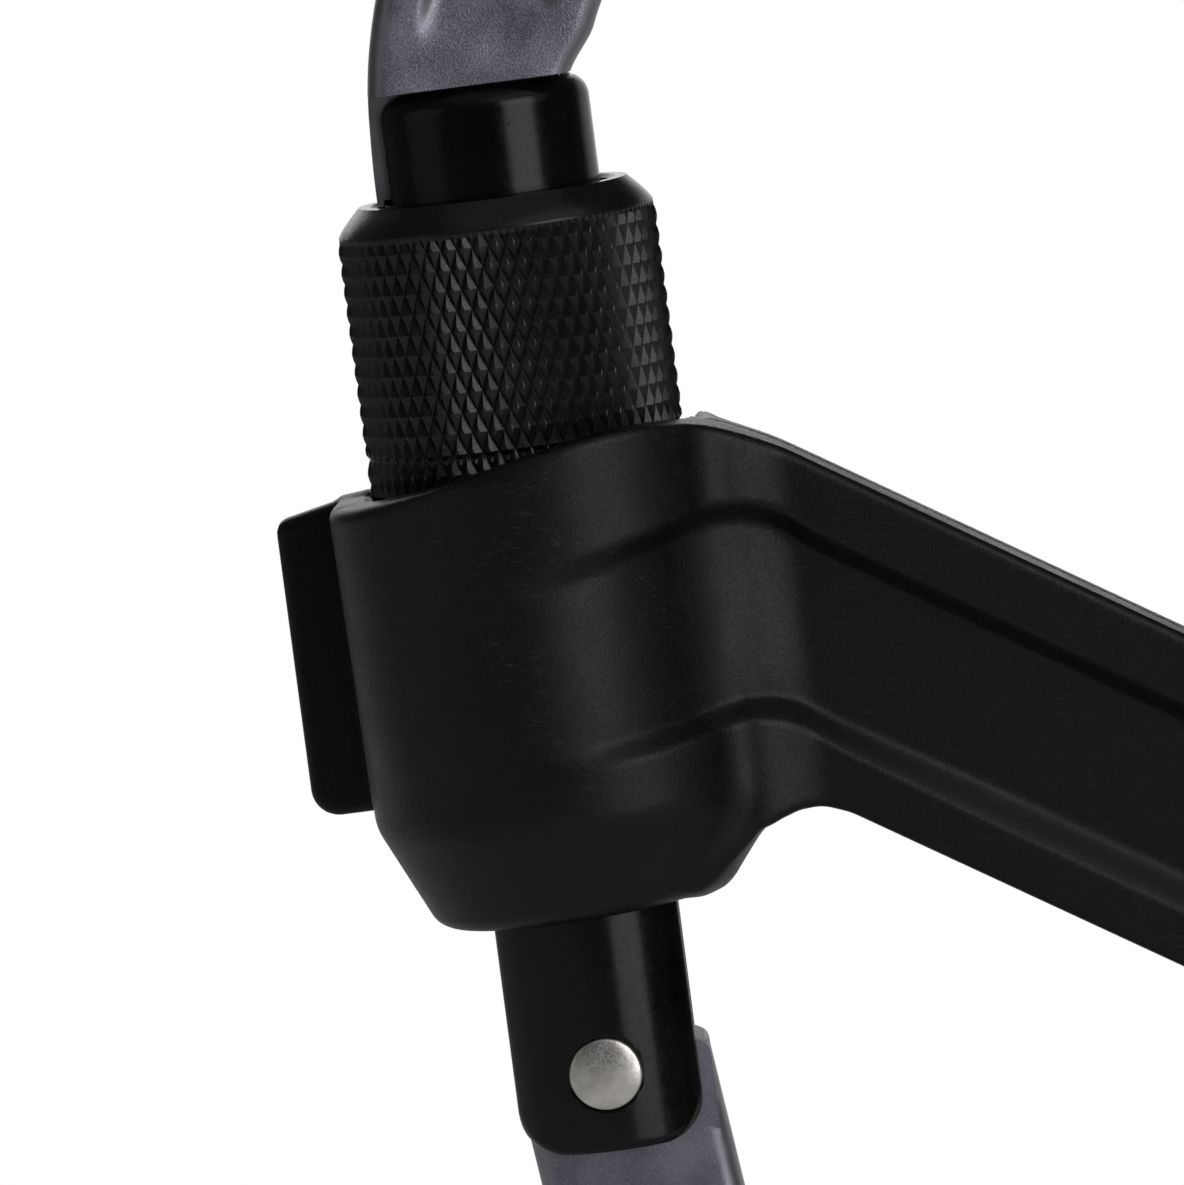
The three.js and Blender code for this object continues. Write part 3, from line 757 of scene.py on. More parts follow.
def slab(outline: Outline, low: float, high: float, axis: str) -> Solid:
    """An outline carried straight along an axis.

    Args:
        outline: for axis y in x and z, for axis z in x and y, for axis x in y and z.
        low: where it starts.
        high: where it ends.
        axis: x, y or z.

    Returns:
        The solid.
    """
    flat = np.array(outline, float)
    area = np.sum(flat[:, 0] * np.roll(flat[:, 1], -1) - np.roll(flat[:, 0], -1) * flat[:, 1])
    flat = flat if area > 0 else flat[::-1]
    order = {"x": (2, 0, 1), "y": (0, 2, 1), "z": (0, 1, 2)}[axis]
    ends = (low, high) if axis != "y" else (high, low)
    return skin([np.column_stack([flat, np.full(len(flat), end)])[:, order] for end in ends])


def brick(x: Pair, y: Pair, z: Pair) -> Solid:
    """A plain block between three pairs of limits, for cutting."""
    return slab([(x[0], y[0]), (x[1], y[0]), (x[1], y[1]), (x[0], y[1])], z[0], z[1], "z")


# Fields: signed distances, negative inside


def round_max(first: Array, second: Array, radius: float) -> Array:
    """What lies in both, with the edge between them rounded."""
    outside = np.hypot(np.maximum(first + radius, 0), np.maximum(second + radius, 0))
    return np.minimum(-radius, np.maximum(first, second)) + outside


def round_min(first: Array, second: Array, radius: float) -> Array:
    """What lies in either, with a fillet between them."""
    return -round_max(-first, -second, radius)


def smooth_max(first: Array, second: Array, width: float) -> Array:
    """What lies in both, with a soft crease between them."""
    share = np.clip(0.5 + 0.5 * (first - second) / width, 0, 1)
    return second + (first - second) * share + width * share * (1 - share)


def smoothstep(value: Array, low: float, high: float) -> Array:
    """0 below low, 1 above high, and smooth between."""
    t = np.clip((value - low) / (high - low), 0, 1)
    return t * t * (3 - 2 * t)


def span(value: Array, low: float, high: float) -> Array:
    """Distance from the stretch between two values, negative inside it."""
    return np.maximum(low - value, value - high)


def flowing(x: Array, corners: Outline, blur: float) -> tuple[Array, Array]:
    """A line through corners that are smoothed, read at places along it.

    Args:
        x: places.
        corners: the line's corners, by rising place.
        blur: half of the way that each corner is smoothed over.

    Returns:
        Heights, and the cosine of the line's slope.
    """
    step = 0.05
    places, heights = np.array(corners).T
    fine = np.arange(places[0], places[-1], step)
    width = 2 * round(blur / step) + 1
    padded = np.pad(np.interp(fine, places, heights), width // 2, mode="reflect", reflect_type="odd")
    line = np.convolve(padded, np.ones(width) / width, mode="valid")
    share = 1 / np.hypot(1.0, np.gradient(line, step))
    return np.interp(x, fine, line), np.interp(x, fine, share)


def sculpted(shape: Field, box: tuple[Triple, Triple], voxel: float, rounds: int = 3) -> Solid:
    """Turns a field into a closed mesh whose points lie on its surface.

    Args:
        shape: the field, in millimetres.
        box: its lowest and highest corner.
        voxel: size of the grid's cells.
        rounds: how often the points are moved onto the surface.

    Returns:
        The mesh.
    """
    band, step, most = 3 * voxel, voxel * 0.25, 0.5 * voxel
    start = np.array(box[0], float) - 2 * voxel
    counts = np.ceil((np.array(box[1]) + 2 * voxel - start) / voxel).astype(int)
    axes = [np.arange(n, dtype=np.float32) * voxel + s for n, s in zip(counts, start)]
    values = shape((axes[0][:, None, None], axes[1][None, :, None], axes[2][None, None, :]))
    grid = vdb.FloatGrid(band)
    grid.copyFromArray(np.clip(np.broadcast_to(values, counts), -band, band).astype(np.float32))
    points, triangles, quads = grid.convertToPolygons(0.0, 0.0)
    points = points.astype(float) * voxel + start
    for _ in range(rounds):
        away = shape(tuple(points.T))
        sides = np.eye(3) * step
        slope = np.column_stack([shape(tuple((points + s).T)) - shape(tuple((points - s).T)) for s in sides])
        slope = slope / (2 * step)
        size = np.maximum(np.sum(slope * slope, axis=1), 0.05)
        points -= np.clip((away / size)[:, None] * slope, -most, most)
    return Solid(points, [tuple(face)[::-1] for face in [*triangles, *quads]])


# The assembly


@dataclass
class Workshop:
    """Makes the pieces' objects, each in place of a node that it hides."""

    nodes: dict[str, bpy.types.Object]
    made: dict[Finish, bpy.types.Material] = field(default_factory=dict)

    def material(self, finish: Finish) -> bpy.types.Material:
        """The material of a finish, made once.

        Args:
            finish: the finish.

        Returns:
            Its material.
        """
        if finish not in self.made:
            self.made[finish] = finish.material()
        return self.made[finish]

    def piece(
        self, name: str, solid: Solid, body: str, node: str, finish: Finish,
        sharp_degrees: float = 50,
    ) -> bpy.types.Object:
        """Makes a piece that stands for a node.

        Args:
            name: the piece's name.
            solid: its shape, in the part's frame.
            body: the body that it rides on.
            node: the node that it stands for.
            finish: its finish.
            sharp_degrees: edges sharper than this stay sharp.

        Returns:
            The piece.
        """
        mesh = solid.mesh(name, math.radians(sharp_degrees))
        mesh.materials.append(self.material(finish))
        made = linked(name, mesh)
        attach(made, body)
        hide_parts(node)
        log.info("%s on %s: %d faces", name, body, len(mesh.polygons))
        return made

    def dress(self, node: str, finish: Finish) -> None:
        """Gives a node of the frame its finish.

        Args:
            node: the node, which keeps its own shape.
            finish: its finish.
        """
        mesh = self.nodes[node].data
        mesh.materials.clear()
        mesh.materials.append(self.material(finish))
        log.info("%s keeps its own shape", node)


@dataclass
class ForgedFrame:
    """The forged bar of I-section, its rivet, and the split bush on its spine."""

    gate: Placement
    spine: Placement
    nose_bend: float = 50.5
    nose_radius: float = 16.3
    nose_turn: float = math.radians(30)
    crown_radius: float = 34.0
    corner_share: float = 0.65
    corner_turn: float = math.radians(113.7)
    bow_radius: float = 18.4
    leg_lean: float = math.radians(13.7)
    leg_length: float = 9.5
    leg_offset: float = 0.35
    nose_step: float = 0.45
    arc_step: float = 0.9
    least_step: float = 0.05
    crown_half_width: float = 5.7
    low_half_width: float = 5.2
    narrowing: Pair = (0.36, 0.52)
    bar_half: float = 4.8
    outer_edge: float = 2.0
    inner_edge: float = 1.9
    flange_flat: float = 0.35
    flange_rounding: float = 0.25
    pocket_slope: float = 0.7
    pocket_rounding: float = 0.5
    pocket_depth: float = 2.0
    pocket_starts: Pair = (1.85, 4.6)
    pocket_ramp: float = 8.0
    pocket_curve: float = 1.6
    pocket_end: Pair = (17.0, 28.0)
    leg_taper: Pair = (6.6, 19.6)
    tongue_half: float = 2.55
    tongue_outer: float = 4.35
    tongue_flare: float = 2.8
    tongue_rounding: float = 0.5
    nose_tip: float = 46.65
    plate_tip: float = 46.3
    nose_outer: float = 6.0
    nose_lip: Pair = (-3.0, 5.0)
    shoulder: float = 52.17
    key_reach: float = 4.0
    nose_inner_half: float = 4.62
    nose_flare: Pair = (-0.6, 4.5)
    neck_half: float = 1.9
    bulb_half: float = 2.4
    bulb_length: float = 1.7
    bulb_from: float = -4.4
    clear_of_bar: float = 11.0
    overlap: float = 6.0
    rivet_radius: float = 1.95
    rivet_crown: float = 0.3
    rivet_edge: float = 0.7
    gate_radius: float = 5.7
    journal_radius: float = 7.9
    bush_flange: float = 1.4
    bush_flange_width: float = 1.2
    bush_play: float = 0.1
    bush_split: float = 0.06
    collar_length: float = 18.0

    def build(self, shop: Workshop) -> None:
        """Makes the pieces of this assembly.

        Args:
            shop: makes the objects.
        """
        forging, acetal = BlastedForging(), SmoothAcetal()
        steel = BrightMetal("rivet_satin_steel", (0.5, 0.48, 0.45), 0.36, 0.004, 0.9)
        shop.piece("forged_bar", self.bar(), "frame", "carabiner_frame", forging, 32)
        shop.piece("rivet", self.rivet(), "frame", "hinge_rivet", steel)
        for side, name in ((-1, "front"), (1, "rear")):
            shop.piece(f"bush_{name}", self.bush(side), "frame", f"spine_bush_{name}", acetal)

    def from_gate(self, x: float, z: float) -> Array:
        """A place of the gate's frame, in x and z of a frame whose origin is the rivet."""
        c, s = math.cos(GATE_LEAN), math.sin(GATE_LEAN)
        return np.array([x * c + z * s, z * c - x * s])

    @staticmethod
    def heading(angle: float) -> Array:
        """Along the bar, clockwise from straight up."""
        return np.array([math.sin(angle), math.cos(angle)])

    @staticmethod
    def inward(angle: float) -> Array:
        """Square to the bar, towards its inside."""
        return np.array([math.cos(angle), -math.sin(angle)])

    def stations(self) -> tuple[list[tuple[Array, float]], list[float]]:
        """Places and headings along the bar's middle line, from the nose round to the hinge.

        Returns:
            The stations, and the way travelled at each, counted from the shoulder.
        """
        start = GATE_LEAN
        crown_start = start + self.nose_turn
        leg_heading = TURN - self.leg_lean
        corner_radius = self.crown_radius * self.corner_share
        bend = self.from_gate(0.0, self.nose_bend)
        nose = bend + self.inward(start) * self.nose_radius
        crown = nose + self.inward(crown_start) * (self.crown_radius - self.nose_radius)
        hinge = self.from_gate(self.leg_offset, 0.0)
        leg_end = hinge - self.heading(leg_heading) * self.leg_length
        bow = leg_end + self.inward(leg_heading) * self.bow_radius
        corner = crown - self.inward(self.corner_turn) * (self.crown_radius - corner_radius)
        across = corner - bow
        away = math.acos((corner_radius - self.bow_radius) / np.linalg.norm(across))
        spine_heading = TURN - away - math.atan2(across[1], across[0])
        low = bow - self.inward(spine_heading) * self.bow_radius
        tip = self.from_gate(0.0, self.plate_tip)
        made = [(between(tip, bend, t), start) for t in np.linspace(0, 1, 12, endpoint=False)]
        for centre, radius, first, last, step in (
            (nose, self.nose_radius, start, crown_start, self.nose_step),
            (crown, self.crown_radius, crown_start, self.corner_turn, self.arc_step),
            (corner, corner_radius, self.corner_turn, spine_heading, self.arc_step),
            (bow, self.bow_radius, spine_heading, leg_heading, self.arc_step),
        ):
            angles = np.linspace(first, last, max(8, round((last - first) * radius / step)) + 1)
            made += [(centre - self.inward(a) * radius, a) for a in angles]
            if centre is corner:
                high = made[-1][0]
                made += [(between(high, low, t), spine_heading) for t in np.linspace(0, 1, 40)[1:-1]]
        made += [(between(leg_end, hinge, t), leg_heading) for t in np.linspace(0, 1, 14)[1:]]
        steps = [float(np.linalg.norm(b[0] - a[0])) for a, b in zip(made, made[1:])]
        kept = [made[0], *(s for s, step in zip(made[1:], steps) if step > self.least_step)]
        ways = [self.plate_tip - self.shoulder]
        for a, b in zip(kept, kept[1:]):
            ways.append(ways[-1] + float(np.linalg.norm(b[0] - a[0])))
        return kept, ways

    def section(self, outer: float, inner: float, half: float, pocket: Pair) -> Array:
        """The bar's section.

        Args:
            outer: reach to the outside.
            inner: reach to the inside.
            half: half of the thickness.
            pocket: depth of the hollow in each face, at its outer and its inner side.

        Returns:
            Points across the bar (outside negative) and through it.
        """
        near = self.outer_edge + self.flange_flat - outer
        far = inner - self.inner_edge - self.flange_flat
        flange, floor = self.flange_rounding, self.pocket_rounding
        return np.array(softened(mirrored([
            (-outer, -half, self.outer_edge),
            (near, -half, flange),
            (near + self.pocket_slope, pocket[0] - half, floor),
            (far - self.pocket_slope, pocket[1] - half, floor),
            (far, -half, flange),
            (inner, -half, self.inner_edge),
        ]), 6))

    def widths(self, way: float, whole: float) -> tuple[float, float, float, Pair]:
        """The section's sizes at a station.

        Args:
            way: way travelled from the shoulder.
            whole: the whole way, to the hinge.

        Returns:
            Outer and inner reach, half thickness and pocket depths.
        """
        left = whole - way
        full = between(self.crown_half_width, self.low_half_width, smoothstep(way / whole, *self.narrowing))
        lip = smoothstep(-way, *self.nose_lip) * (self.nose_outer - self.crown_half_width)
        entered = np.clip((way - np.array(self.pocket_starts)) / self.pocket_ramp, 0, 1)
        pocket_in = 1 - (1 - entered) ** self.pocket_curve
        pocket_out = smoothstep(left, *self.pocket_end)
        return (
            between(self.tongue_outer, full, smoothstep(left, 0.0, self.tongue_flare)) + lip,
            between(self.nose_inner_half, full, smoothstep(way, *self.nose_flare)),
            between(self.tongue_half, self.bar_half, smoothstep(left, *self.leg_taper)),
            tuple(self.pocket_depth * pocket_in * pocket_out),
        )

    def swept(self) -> Solid:
        """The bar as its section carried along the stations, round the rivet as origin.

        Returns:
            The bar.
        """
        stations, ways = self.stations()
        rings = []
        for (at, angle), way in zip(stations, ways):
            ring = self.section(*self.widths(way, ways[-1]))[::-1]
            places = at + ring[:, :1] * self.inward(angle)
            rings.append(np.column_stack([places[:, 0], ring[:, 1], places[:, 1]]))
        return skin(rings)

    def around_nose(self) -> Solid:
        """What is cut from the bar under its shoulder, so that the key and the plate outside it stay.

        Returns:
            The solid to cut, in the gate's frame.
        """
        neck, bulb, top = self.neck_half, self.bulb_half, self.shoulder + self.overlap
        bulb_top = self.nose_tip + self.bulb_length
        outline = mirrored([
            (bulb, self.nose_tip, 0.6), (bulb, bulb_top, 0.4), (neck, bulb_top + 1.0, 0.4), (neck, top, 0.0),
        ], (-1, 1))
        key = slab(softened(outline, 5), self.bulb_from, self.key_reach, "x")
        inside = self.bulb_from + 1.0
        plate = softened([
            (-9.0, 48.6, 0.0), (-6.4, 47.3, 0.6), (-5.9, self.plate_tip, 0.3), (-5.72, self.plate_tip, 0.05),
            (-5.6, self.nose_tip, 0.0), (inside, self.nose_tip, 0.0), (inside, top, 0.0), (-9.0, top, 0.0),
        ], 5)
        zone = (-self.clear_of_bar, self.clear_of_bar)
        block = brick(zone, zone, (self.nose_tip - self.overlap, self.shoulder))
        return joined(block, (Join.CUT, key), (Join.CUT, slab(plate, -neck, neck, "y")))

    def tongue(self) -> Solid:
        """The tongue round the rivet, in the gate's slot.

        Returns:
            The tongue, in the gate's frame.
        """
        outer, inner = self.leg_offset - self.tongue_outer, self.leg_offset + self.low_half_width
        rounded = [(5.6, -1.2), (5.55, 0.5), (4.6, 0.9), (3.2, 3.9), (-1.6, 4.1), (-2.8, 2.9), (-4.0, 0.3)]
        corners = [(outer, -GAP, 0.0), (inner, -4.1, 0.0)]
        corners += [(x, z, self.tongue_rounding) for x, z in rounded]
        return slab(softened(corners), -self.tongue_half, self.tongue_half, "y")

    def bar(self) -> Solid:
        """The whole forging: the swept bar, its keyed nose and its tongue.

        Returns:
            The forging.
        """
        turn = Placement((0.0, 0.0, 0.0), GATE_LEAN)
        tongue, around = self.tongue().placed(turn), self.around_nose().placed(turn)
        radius, reach = self.rivet_radius, self.gate_radius + self.rivet_crown + 1.0
        hole = turned([(0, -reach), (radius, -reach), (radius, reach), (0, reach)], 64).laid((1, -1, 1))
        made = joined(self.swept(), (Join.ADD, tongue), (Join.CUT, around), (Join.CUT, hole))
        return made.placed(Placement(self.gate.origin, 0.0))

    def rivet(self) -> Solid:
        """The hinge rivet, with slightly domed ends.

        Returns:
            The rivet.
        """
        crown, radius = self.gate_radius + self.rivet_crown, self.rivet_radius
        side = crown - self.rivet_edge
        top = [
            (radius * math.sin(t) * 0.985, crown + self.rivet_crown * 1.1 * (math.cos(t) - 1))
            for t in np.linspace(0, 1.35, 12)
        ]
        profile = [(radius, -side), (radius, side), *top[::-1], *((r, -z) for r, z in top)]
        return turned(profile).laid((1, -1, 1)).placed(self.gate)

    def bush(self, side: int) -> Solid:
        """One half of the split bush.

        Args:
            side: -1 for the front half, 1 for the rear half.

        Returns:
            The half bush.
        """
        half = self.collar_length / 2 + GAP
        end, beyond = half + self.bush_flange_width, half + self.bush_flange_width + 5
        journal, flange, clear = self.journal_radius, self.journal_radius + self.bush_flange, 12.0
        corners = [(0.0, -end, 0.0), (flange, -end, 0.35), (flange, -half, 0.2), (journal, -half, 0.0)]
        whole = turned(softened(mirrored(corners)))
        width, depths = self.low_half_width + self.bush_play, (self.pocket_depth, self.pocket_depth)
        section = self.section(width, width, self.bar_half + self.bush_play, depths)
        bar = slab([(-across, through) for across, through in section], -beyond, beyond, "z")
        limits = sorted((side * self.bush_split, side * clear))
        keep = brick((-clear, clear), tuple(limits), (-beyond, beyond))
        return joined(whole, (Join.CUT, bar), (Join.KEEP, keep)).placed(self.spine)


@dataclass
class ScrewGate:
    """The gate tube with what is in it, and the knurled sleeve that screws over the nose."""

    gate: Placement
    tube_box: tuple[Triple, Triple] = ((-5.9, -5.9, -4.4), (5.9, 5.9, 52.2))
    tube_voxel: float = 0.15
    radius: float = 5.0
    head_radius: float = 5.7
    head_top: float = 52.0
    shaft: Pair = (14.0, 43.0)
    head_rounding: float = 1.3
    heel_half: float = 5.05
    heel_drop: float = 4.15
    heel_rounding: float = 2.5
    heel_edge: float = 0.35
    slot_half: float = 2.7
    slot_top: float = 11.0
    slot_edge: float = 0.22
    neck_half: float = 2.05
    bulb_half: float = 2.6
    key_foot: float = 46.6
    key_narrows: Pair = (48.0, 49.0)
    key_reach: float = 4.2
    key_edge: float = 0.18
    bulb_from: float = -4.6
    rivet_hole: float = 1.85
    hole_edge: float = 0.08
    bore: float = 2.8
    bore_top: float = 22.7
    sleeve_radius: float = 8.42
    sleeve_foot: float = 21.3
    sleeve_rim: float = 46.3
    sleeve_edge: float = 0.3
    rim_radius: float = 7.35
    rim_chamfer: float = 1.42
    rim_edge: float = 0.2
    rim_bulge: float = 0.05
    sleeve_bore: float = 6.6
    head_bore: float = 6.3
    bore_step: float = 39.0
    knurl_count: int = 60
    knurl_start: float = 0.45
    knurl_height: float = 2.12
    knurl_depth: float = 0.28
    knurl_flat: float = 1.15
    knurl_fade: float = 1.1
    knurl_samples: int = 8
    smooth_relief: float = 0.12
    groove_at: float = 33.2
    groove_half: float = 0.32
    groove_depth: float = 0.24

    def build(self, shop: Workshop) -> None:
        """Makes the pieces of this assembly.

        Args:
            shop: makes the objects.
        """
        tube = sculpted(self.tube, self.tube_box, self.tube_voxel).placed(self.gate)
        sleeve = self.sleeve().placed(self.gate)
        shop.piece("gate_round_tube", tube, "gate", "gate_tube", GlossyAnodised(), 70)
        shop.piece("knurled_sleeve", sleeve, "sleeve", "screw_sleeve", KnurledAnodised(), 14)
        brass = BrightMetal("turned_brass", (0.55, 0.42, 0.2), 0.35)
        wire = BrightMetal("spring_wire", (0.5, 0.5, 0.52), 0.28)
        for node in ("sleeve_liner", "gate_plunger"):
            shop.dress(node, brass)
        for node in ("gate_spring", "sleeve_stop_ring"):
            shop.dress(node, wire)

    def tube(self, at: Place) -> Array:
        """The gate tube: wider at head and heel, slotted for the tongue and the nose's key.

        Args:
            at: places in the gate's frame.

        Returns:
            The field.
        """
        x, y, z = at
        r = np.hypot(x, y)
        wide = self.radius + np.clip(span(z, *self.shaft), 0, self.head_radius - self.radius)
        body = round_max(r - wide, z - self.head_top, self.head_rounding)
        heel = round_max(np.abs(x) - self.heel_half, -self.heel_drop - z, self.heel_rounding)
        body = round_max(body, np.where(z < self.shaft[1] / 2, heel, DEEP), self.heel_edge)
        slot = np.maximum(np.abs(y) - self.slot_half, z - self.slot_top)
        body = round_max(body, -slot, self.slot_edge)
        width = np.interp(z, self.key_narrows, [self.bulb_half, self.neck_half])
        width = np.where(x < self.bulb_from, self.neck_half, width)
        key = np.maximum(np.maximum(np.abs(y) - width, self.key_foot - z), x - self.key_reach)
        body = round_max(body, -key, self.key_edge)
        body = round_max(body, self.rivet_hole - np.hypot(x, z), self.hole_edge)
        inside = np.maximum(r - self.bore, span(z, self.slot_top / 2, self.bore_top))
        return np.maximum(body, -inside)

    def knurl(self, angle: Array, rise: float) -> Array:
        """How far the surface lies under the knurl's points.

        Args:
            angle: angles round the sleeve.
            rise: height above the knurl's first row.

        Returns:
            Depths.
        """
        around = angle * self.knurl_count / TURN
        up = rise / self.knurl_height
        ridges = [1 - np.abs(((around + sign * up) % 1.0) - 0.5) * 2 for sign in (1, -1)]
        return self.knurl_depth * (1 - np.minimum(np.minimum(*ridges) * self.knurl_flat, 1.0))

    def faceted(self, solid: Solid, first: int, last: int) -> Solid:
        """Splits the knurl's faces along its valleys, so that its points have flat sides.

        Args:
            solid: the sleeve, whose rings lie on each other.
            first: the knurl's first ring.
            last: its last ring.

        Returns:
            The sleeve with three-sided faces there.
        """
        steps, half = self.knurl_count * self.knurl_samples, self.knurl_samples // 2
        faces: list[Sequence[int]] = []
        for k, (a, b, c, d) in enumerate(solid.faces):
            row, column = divmod(k, steps)
            if not first <= row < last:
                faces.append((a, b, c, d))
            elif (column // half + (row - first) // half) % 2:
                faces += [(a, b, d), (b, c, d)]
            else:
                faces += [(a, b, c), (a, c, d)]
        return Solid(solid.points, faces)

    def sleeve(self) -> Solid:
        """The sleeve, with real knurling between its foot and its smooth rim.

        Returns:
            The sleeve, in the gate's frame.
        """
        steps = self.knurl_count * self.knurl_samples
        angles = np.arange(steps) * TURN / steps
        foot, rim, radius, edge = self.sleeve_foot, self.sleeve_rim, self.sleeve_radius, self.sleeve_edge
        smooth = radius - self.smooth_relief
        top, start = rim - self.rim_chamfer, foot + self.knurl_start
        rise = self.knurl_height / self.knurl_samples
        rows = [
            (self.sleeve_bore, foot + edge), (self.sleeve_bore + edge, foot),
            (radius - 0.75, foot), (radius - 0.4, foot + self.smooth_relief),
        ]
        first = len(rows)
        rows += [(radius, float(z)) for z in np.arange(start, top - edge, rise)]
        last = len(rows) - 1
        rows += [(smooth, top - self.smooth_relief), (smooth, top)]
        for t in np.linspace(0, 1, 7)[1:]:
            reach = smooth + (self.rim_radius - radius) * t + self.rim_bulge * math.sin(math.pi * t)
            rows.append((reach, top + self.rim_bulge + (self.rim_chamfer - self.rim_edge) * t))
        rows += [
            (self.rim_radius - 0.25, rim),
            (self.head_bore + self.rim_edge, rim),
            (self.head_bore, rim - self.rim_edge),
            (self.head_bore, self.bore_step + edge),
            (self.sleeve_bore, self.bore_step),
        ]
        groove_at = start + rise * round((self.groove_at - start) / rise)
        rings = []
        for i, (reach, z) in enumerate(rows):
            r = np.full(steps, reach)
            if first <= i <= last:
                groove = max(0.0, 1 - abs(z - groove_at) / self.groove_half)
                depth = np.maximum(self.knurl(angles, z - start), self.groove_depth * groove)
                r = r - np.maximum(depth, self.knurl_depth * (1 - (z - foot) / self.knurl_fade))
            rings.append(np.column_stack([r * np.cos(angles), r * np.sin(angles), np.full(steps, z)]))
        return self.faceted(skin(rings, around=True), first, last)


@dataclass
class SwingClip:
    """The moulded clip: cup, arm and collar in two shells, with the screws that hold them.

    Lines of corners are in x and z of the gate's frame.
    """

    gate: Placement
    spine: Placement
    voxel: float = 0.25
    front_box: tuple[Triple, Triple] = ((-13.8, -11.0, -9.6), (56.6, 6.6, 34.2))
    rear_box: tuple[Triple, Triple] = ((8.0, -1.0, -9.6), (56.6, 11.0, 34.2))
    crease_radius: float = 10.4
    crease_width: float = 0.25
    cup_foot: float = 8.35
    cup_crease: float = 13.8
    cup_slope: float = 0.02
    foot_radius: float = 7.85
    foot_slope: float = 0.468
    foot_share: float = 0.905
    foot_tilt: float = 0.04
    foot_rounding: float = 0.8
    bore: float = 8.65
    exit: float = 5.95
    funnel: Pair = (10.9, 15.6)
    funnel_share: float = 0.85
    opening: float = 8.55
    opening_rounding: float = 0.3
    corner_start: Triple = (5.0, -0.6, 31.2)
    corner_gap: float = 0.4
    corner_rounding: float = 0.9
    leg_sides: Pair = (-10.35, -8.5)
    leg_depths: Pair = (-1.5, 6.2)
    leg_heights: Pair = (14.9, 30.9)
    leg_rounding: float = 0.45
    leg_end_rounding: float = 0.35
    tab_reach: float = 13.78
    tab_top: float = 30.0
    tab_rise: float = 0.215
    tab_foot: float = 14.1
    tab_depths: Pair = (4.2, 6.2)
    tab_roundings: Triple = (1.5, 0.6, 0.5)
    tab_fillet: float = 0.3
    arm_anchor: float = 30.25
    arm_drop: float = math.radians(32.4)
    arm_half: float = 8.1
    arm_low: float = 7.76
    arm_front: float = 4.8
    arm_back: float = 1.5
    arm_root: float = 6.0
    arm_swell: float = 0.85
    swell_reach: Pair = (9.6, 13.6)
    valley: float = 1.0
    seam: float = -0.75
    seam_gap: float = 0.06
    seam_rounding: float = 0.1
    shell_start: float = 8.2
    skirt_radius: float = 7.6
    skirt_slope: float = 0.95
    skirt_share: float = 0.6887
    skirt_top: float = 11.65
    panel_half: float = 4.3
    panel_depth: float = 1.3
    panel_step: float = 1.2
    panel_low_step: float = 1.7
    panel_end: float = 11.4
    panel_fade: Pair = (-3.0, 8.5)
    panel_turn: Pair = (9.5, 14.5)
    edge_rounding: float = 0.5
    shell_rounding: float = 0.25
    collar_radius: float = 10.15
    collar_rounding: float = 1.3
    collar_fillet: float = 1.2
    collar_half: float = 9.0
    journal: float = 8.1
    relief: float = 9.6
    screw_names: tuple[str, ...] = ("cup_upper", "cup_lower", "collar_upper", "collar_lower")
    screw_radius: float = 0.75
    screw_hole_depth: float = 3.0
    socket_radius: float = 0.68
    socket_depth: float = 0.5
    head_radius: float = 1.35
    head_height: float = 0.9
    screw_recess: float = 0.25
    screw_length: float = 3.6
    cup_top: Outline = (
        (-16.0, 29.9), (-10.6, 30.75), (-8.3, 31.2), (-4.25, 32.05), (-0.3, 32.95), (3.1, 33.6),
        (5.2, 33.8), (7.3, 33.65), (8.9, 33.3), (9.9, 33.0), (11.3, 32.4),
    )
    skirt_line: Outline = (
        (-16.0, 7.0), (7.0, 7.0), (8.1, 9.1), (9.0, 10.3), (9.85, 11.45), (10.74, 12.05), (11.9, 12.4),
        (13.1, 12.4),
    )
    panel_top_line: Outline = ((-2.0, 26.2), (1.3, 26.8), (5.6, 27.7), (9.35, 28.45), (12.6, 28.1))
    panel_low_line: Outline = ((-2.0, 16.6), (0.9, 16.95), (5.6, 17.45), (9.9, 18.05), (13.4, 17.35))

    def build(self, shop: Workshop) -> None:
        """Makes the pieces of this assembly.

        Args:
            shop: makes the objects.
        """
        nylon = MouldedNylon()
        steel = BrightMetal("screw_steel", (0.42, 0.42, 0.44), 0.3, 0.004)
        shells = (("front", self.front_shell, self.front_box), ("rear", self.rear_shell, self.rear_box))
        for side, shape, box in shells:
            shell = sculpted(shape, box, self.voxel).placed(self.gate)
            shop.piece(f"clip_{side}", shell, "clip", f"clip_{side}_shell", nylon, 75)
        for name, (x, z) in zip(self.screw_names, self.screw_places()):
            place = Placement(tuple(self.gate.to_part([[x, 0.0, z]])[0]), self.gate.lean)
            screw = self.screw().placed(place)
            shop.piece(f"cap_screw_{name}", screw, "clip", f"clip_screw_{name}", steel)

    def on_arm(self, x: Array, z: Array) -> tuple[Array, Array]:
        """How far along the arm and how far across it a place is."""
        c, s = math.cos(self.arm_drop), math.sin(self.arm_drop)
        return x * c - (z - self.arm_anchor) * s, x * s + (z - self.arm_anchor) * c

    def in_spine(self, x: Array, z: Array) -> tuple[Array, Array]:
        """Turns places of the gate's frame into places of the spine's frame.

        Args:
            x: places in the gate's frame.
            z: heights in the gate's frame.

        Returns:
            The places and the heights in the spine's frame.
        """
        origin = self.gate.from_part(np.array([self.spine.origin]))[0]
        turn = self.spine.lean - self.gate.lean
        dx, dz = x - origin[0], z - origin[2]
        return dx * math.cos(turn) - dz * math.sin(turn), dx * math.sin(turn) + dz * math.cos(turn)

    def screw_places(self) -> list[Pair]:
        """Where the screws are.

        Returns:
            Their middles, in x and z of the gate's frame.
        """
        boxes = [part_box(f"clip_screw_{name}") for name in self.screw_names]
        middles = np.array([np.array((low + high) / 2) / METRES for low, high in boxes])
        return [(float(x), float(z)) for x, _, z in self.gate.from_part(middles)]

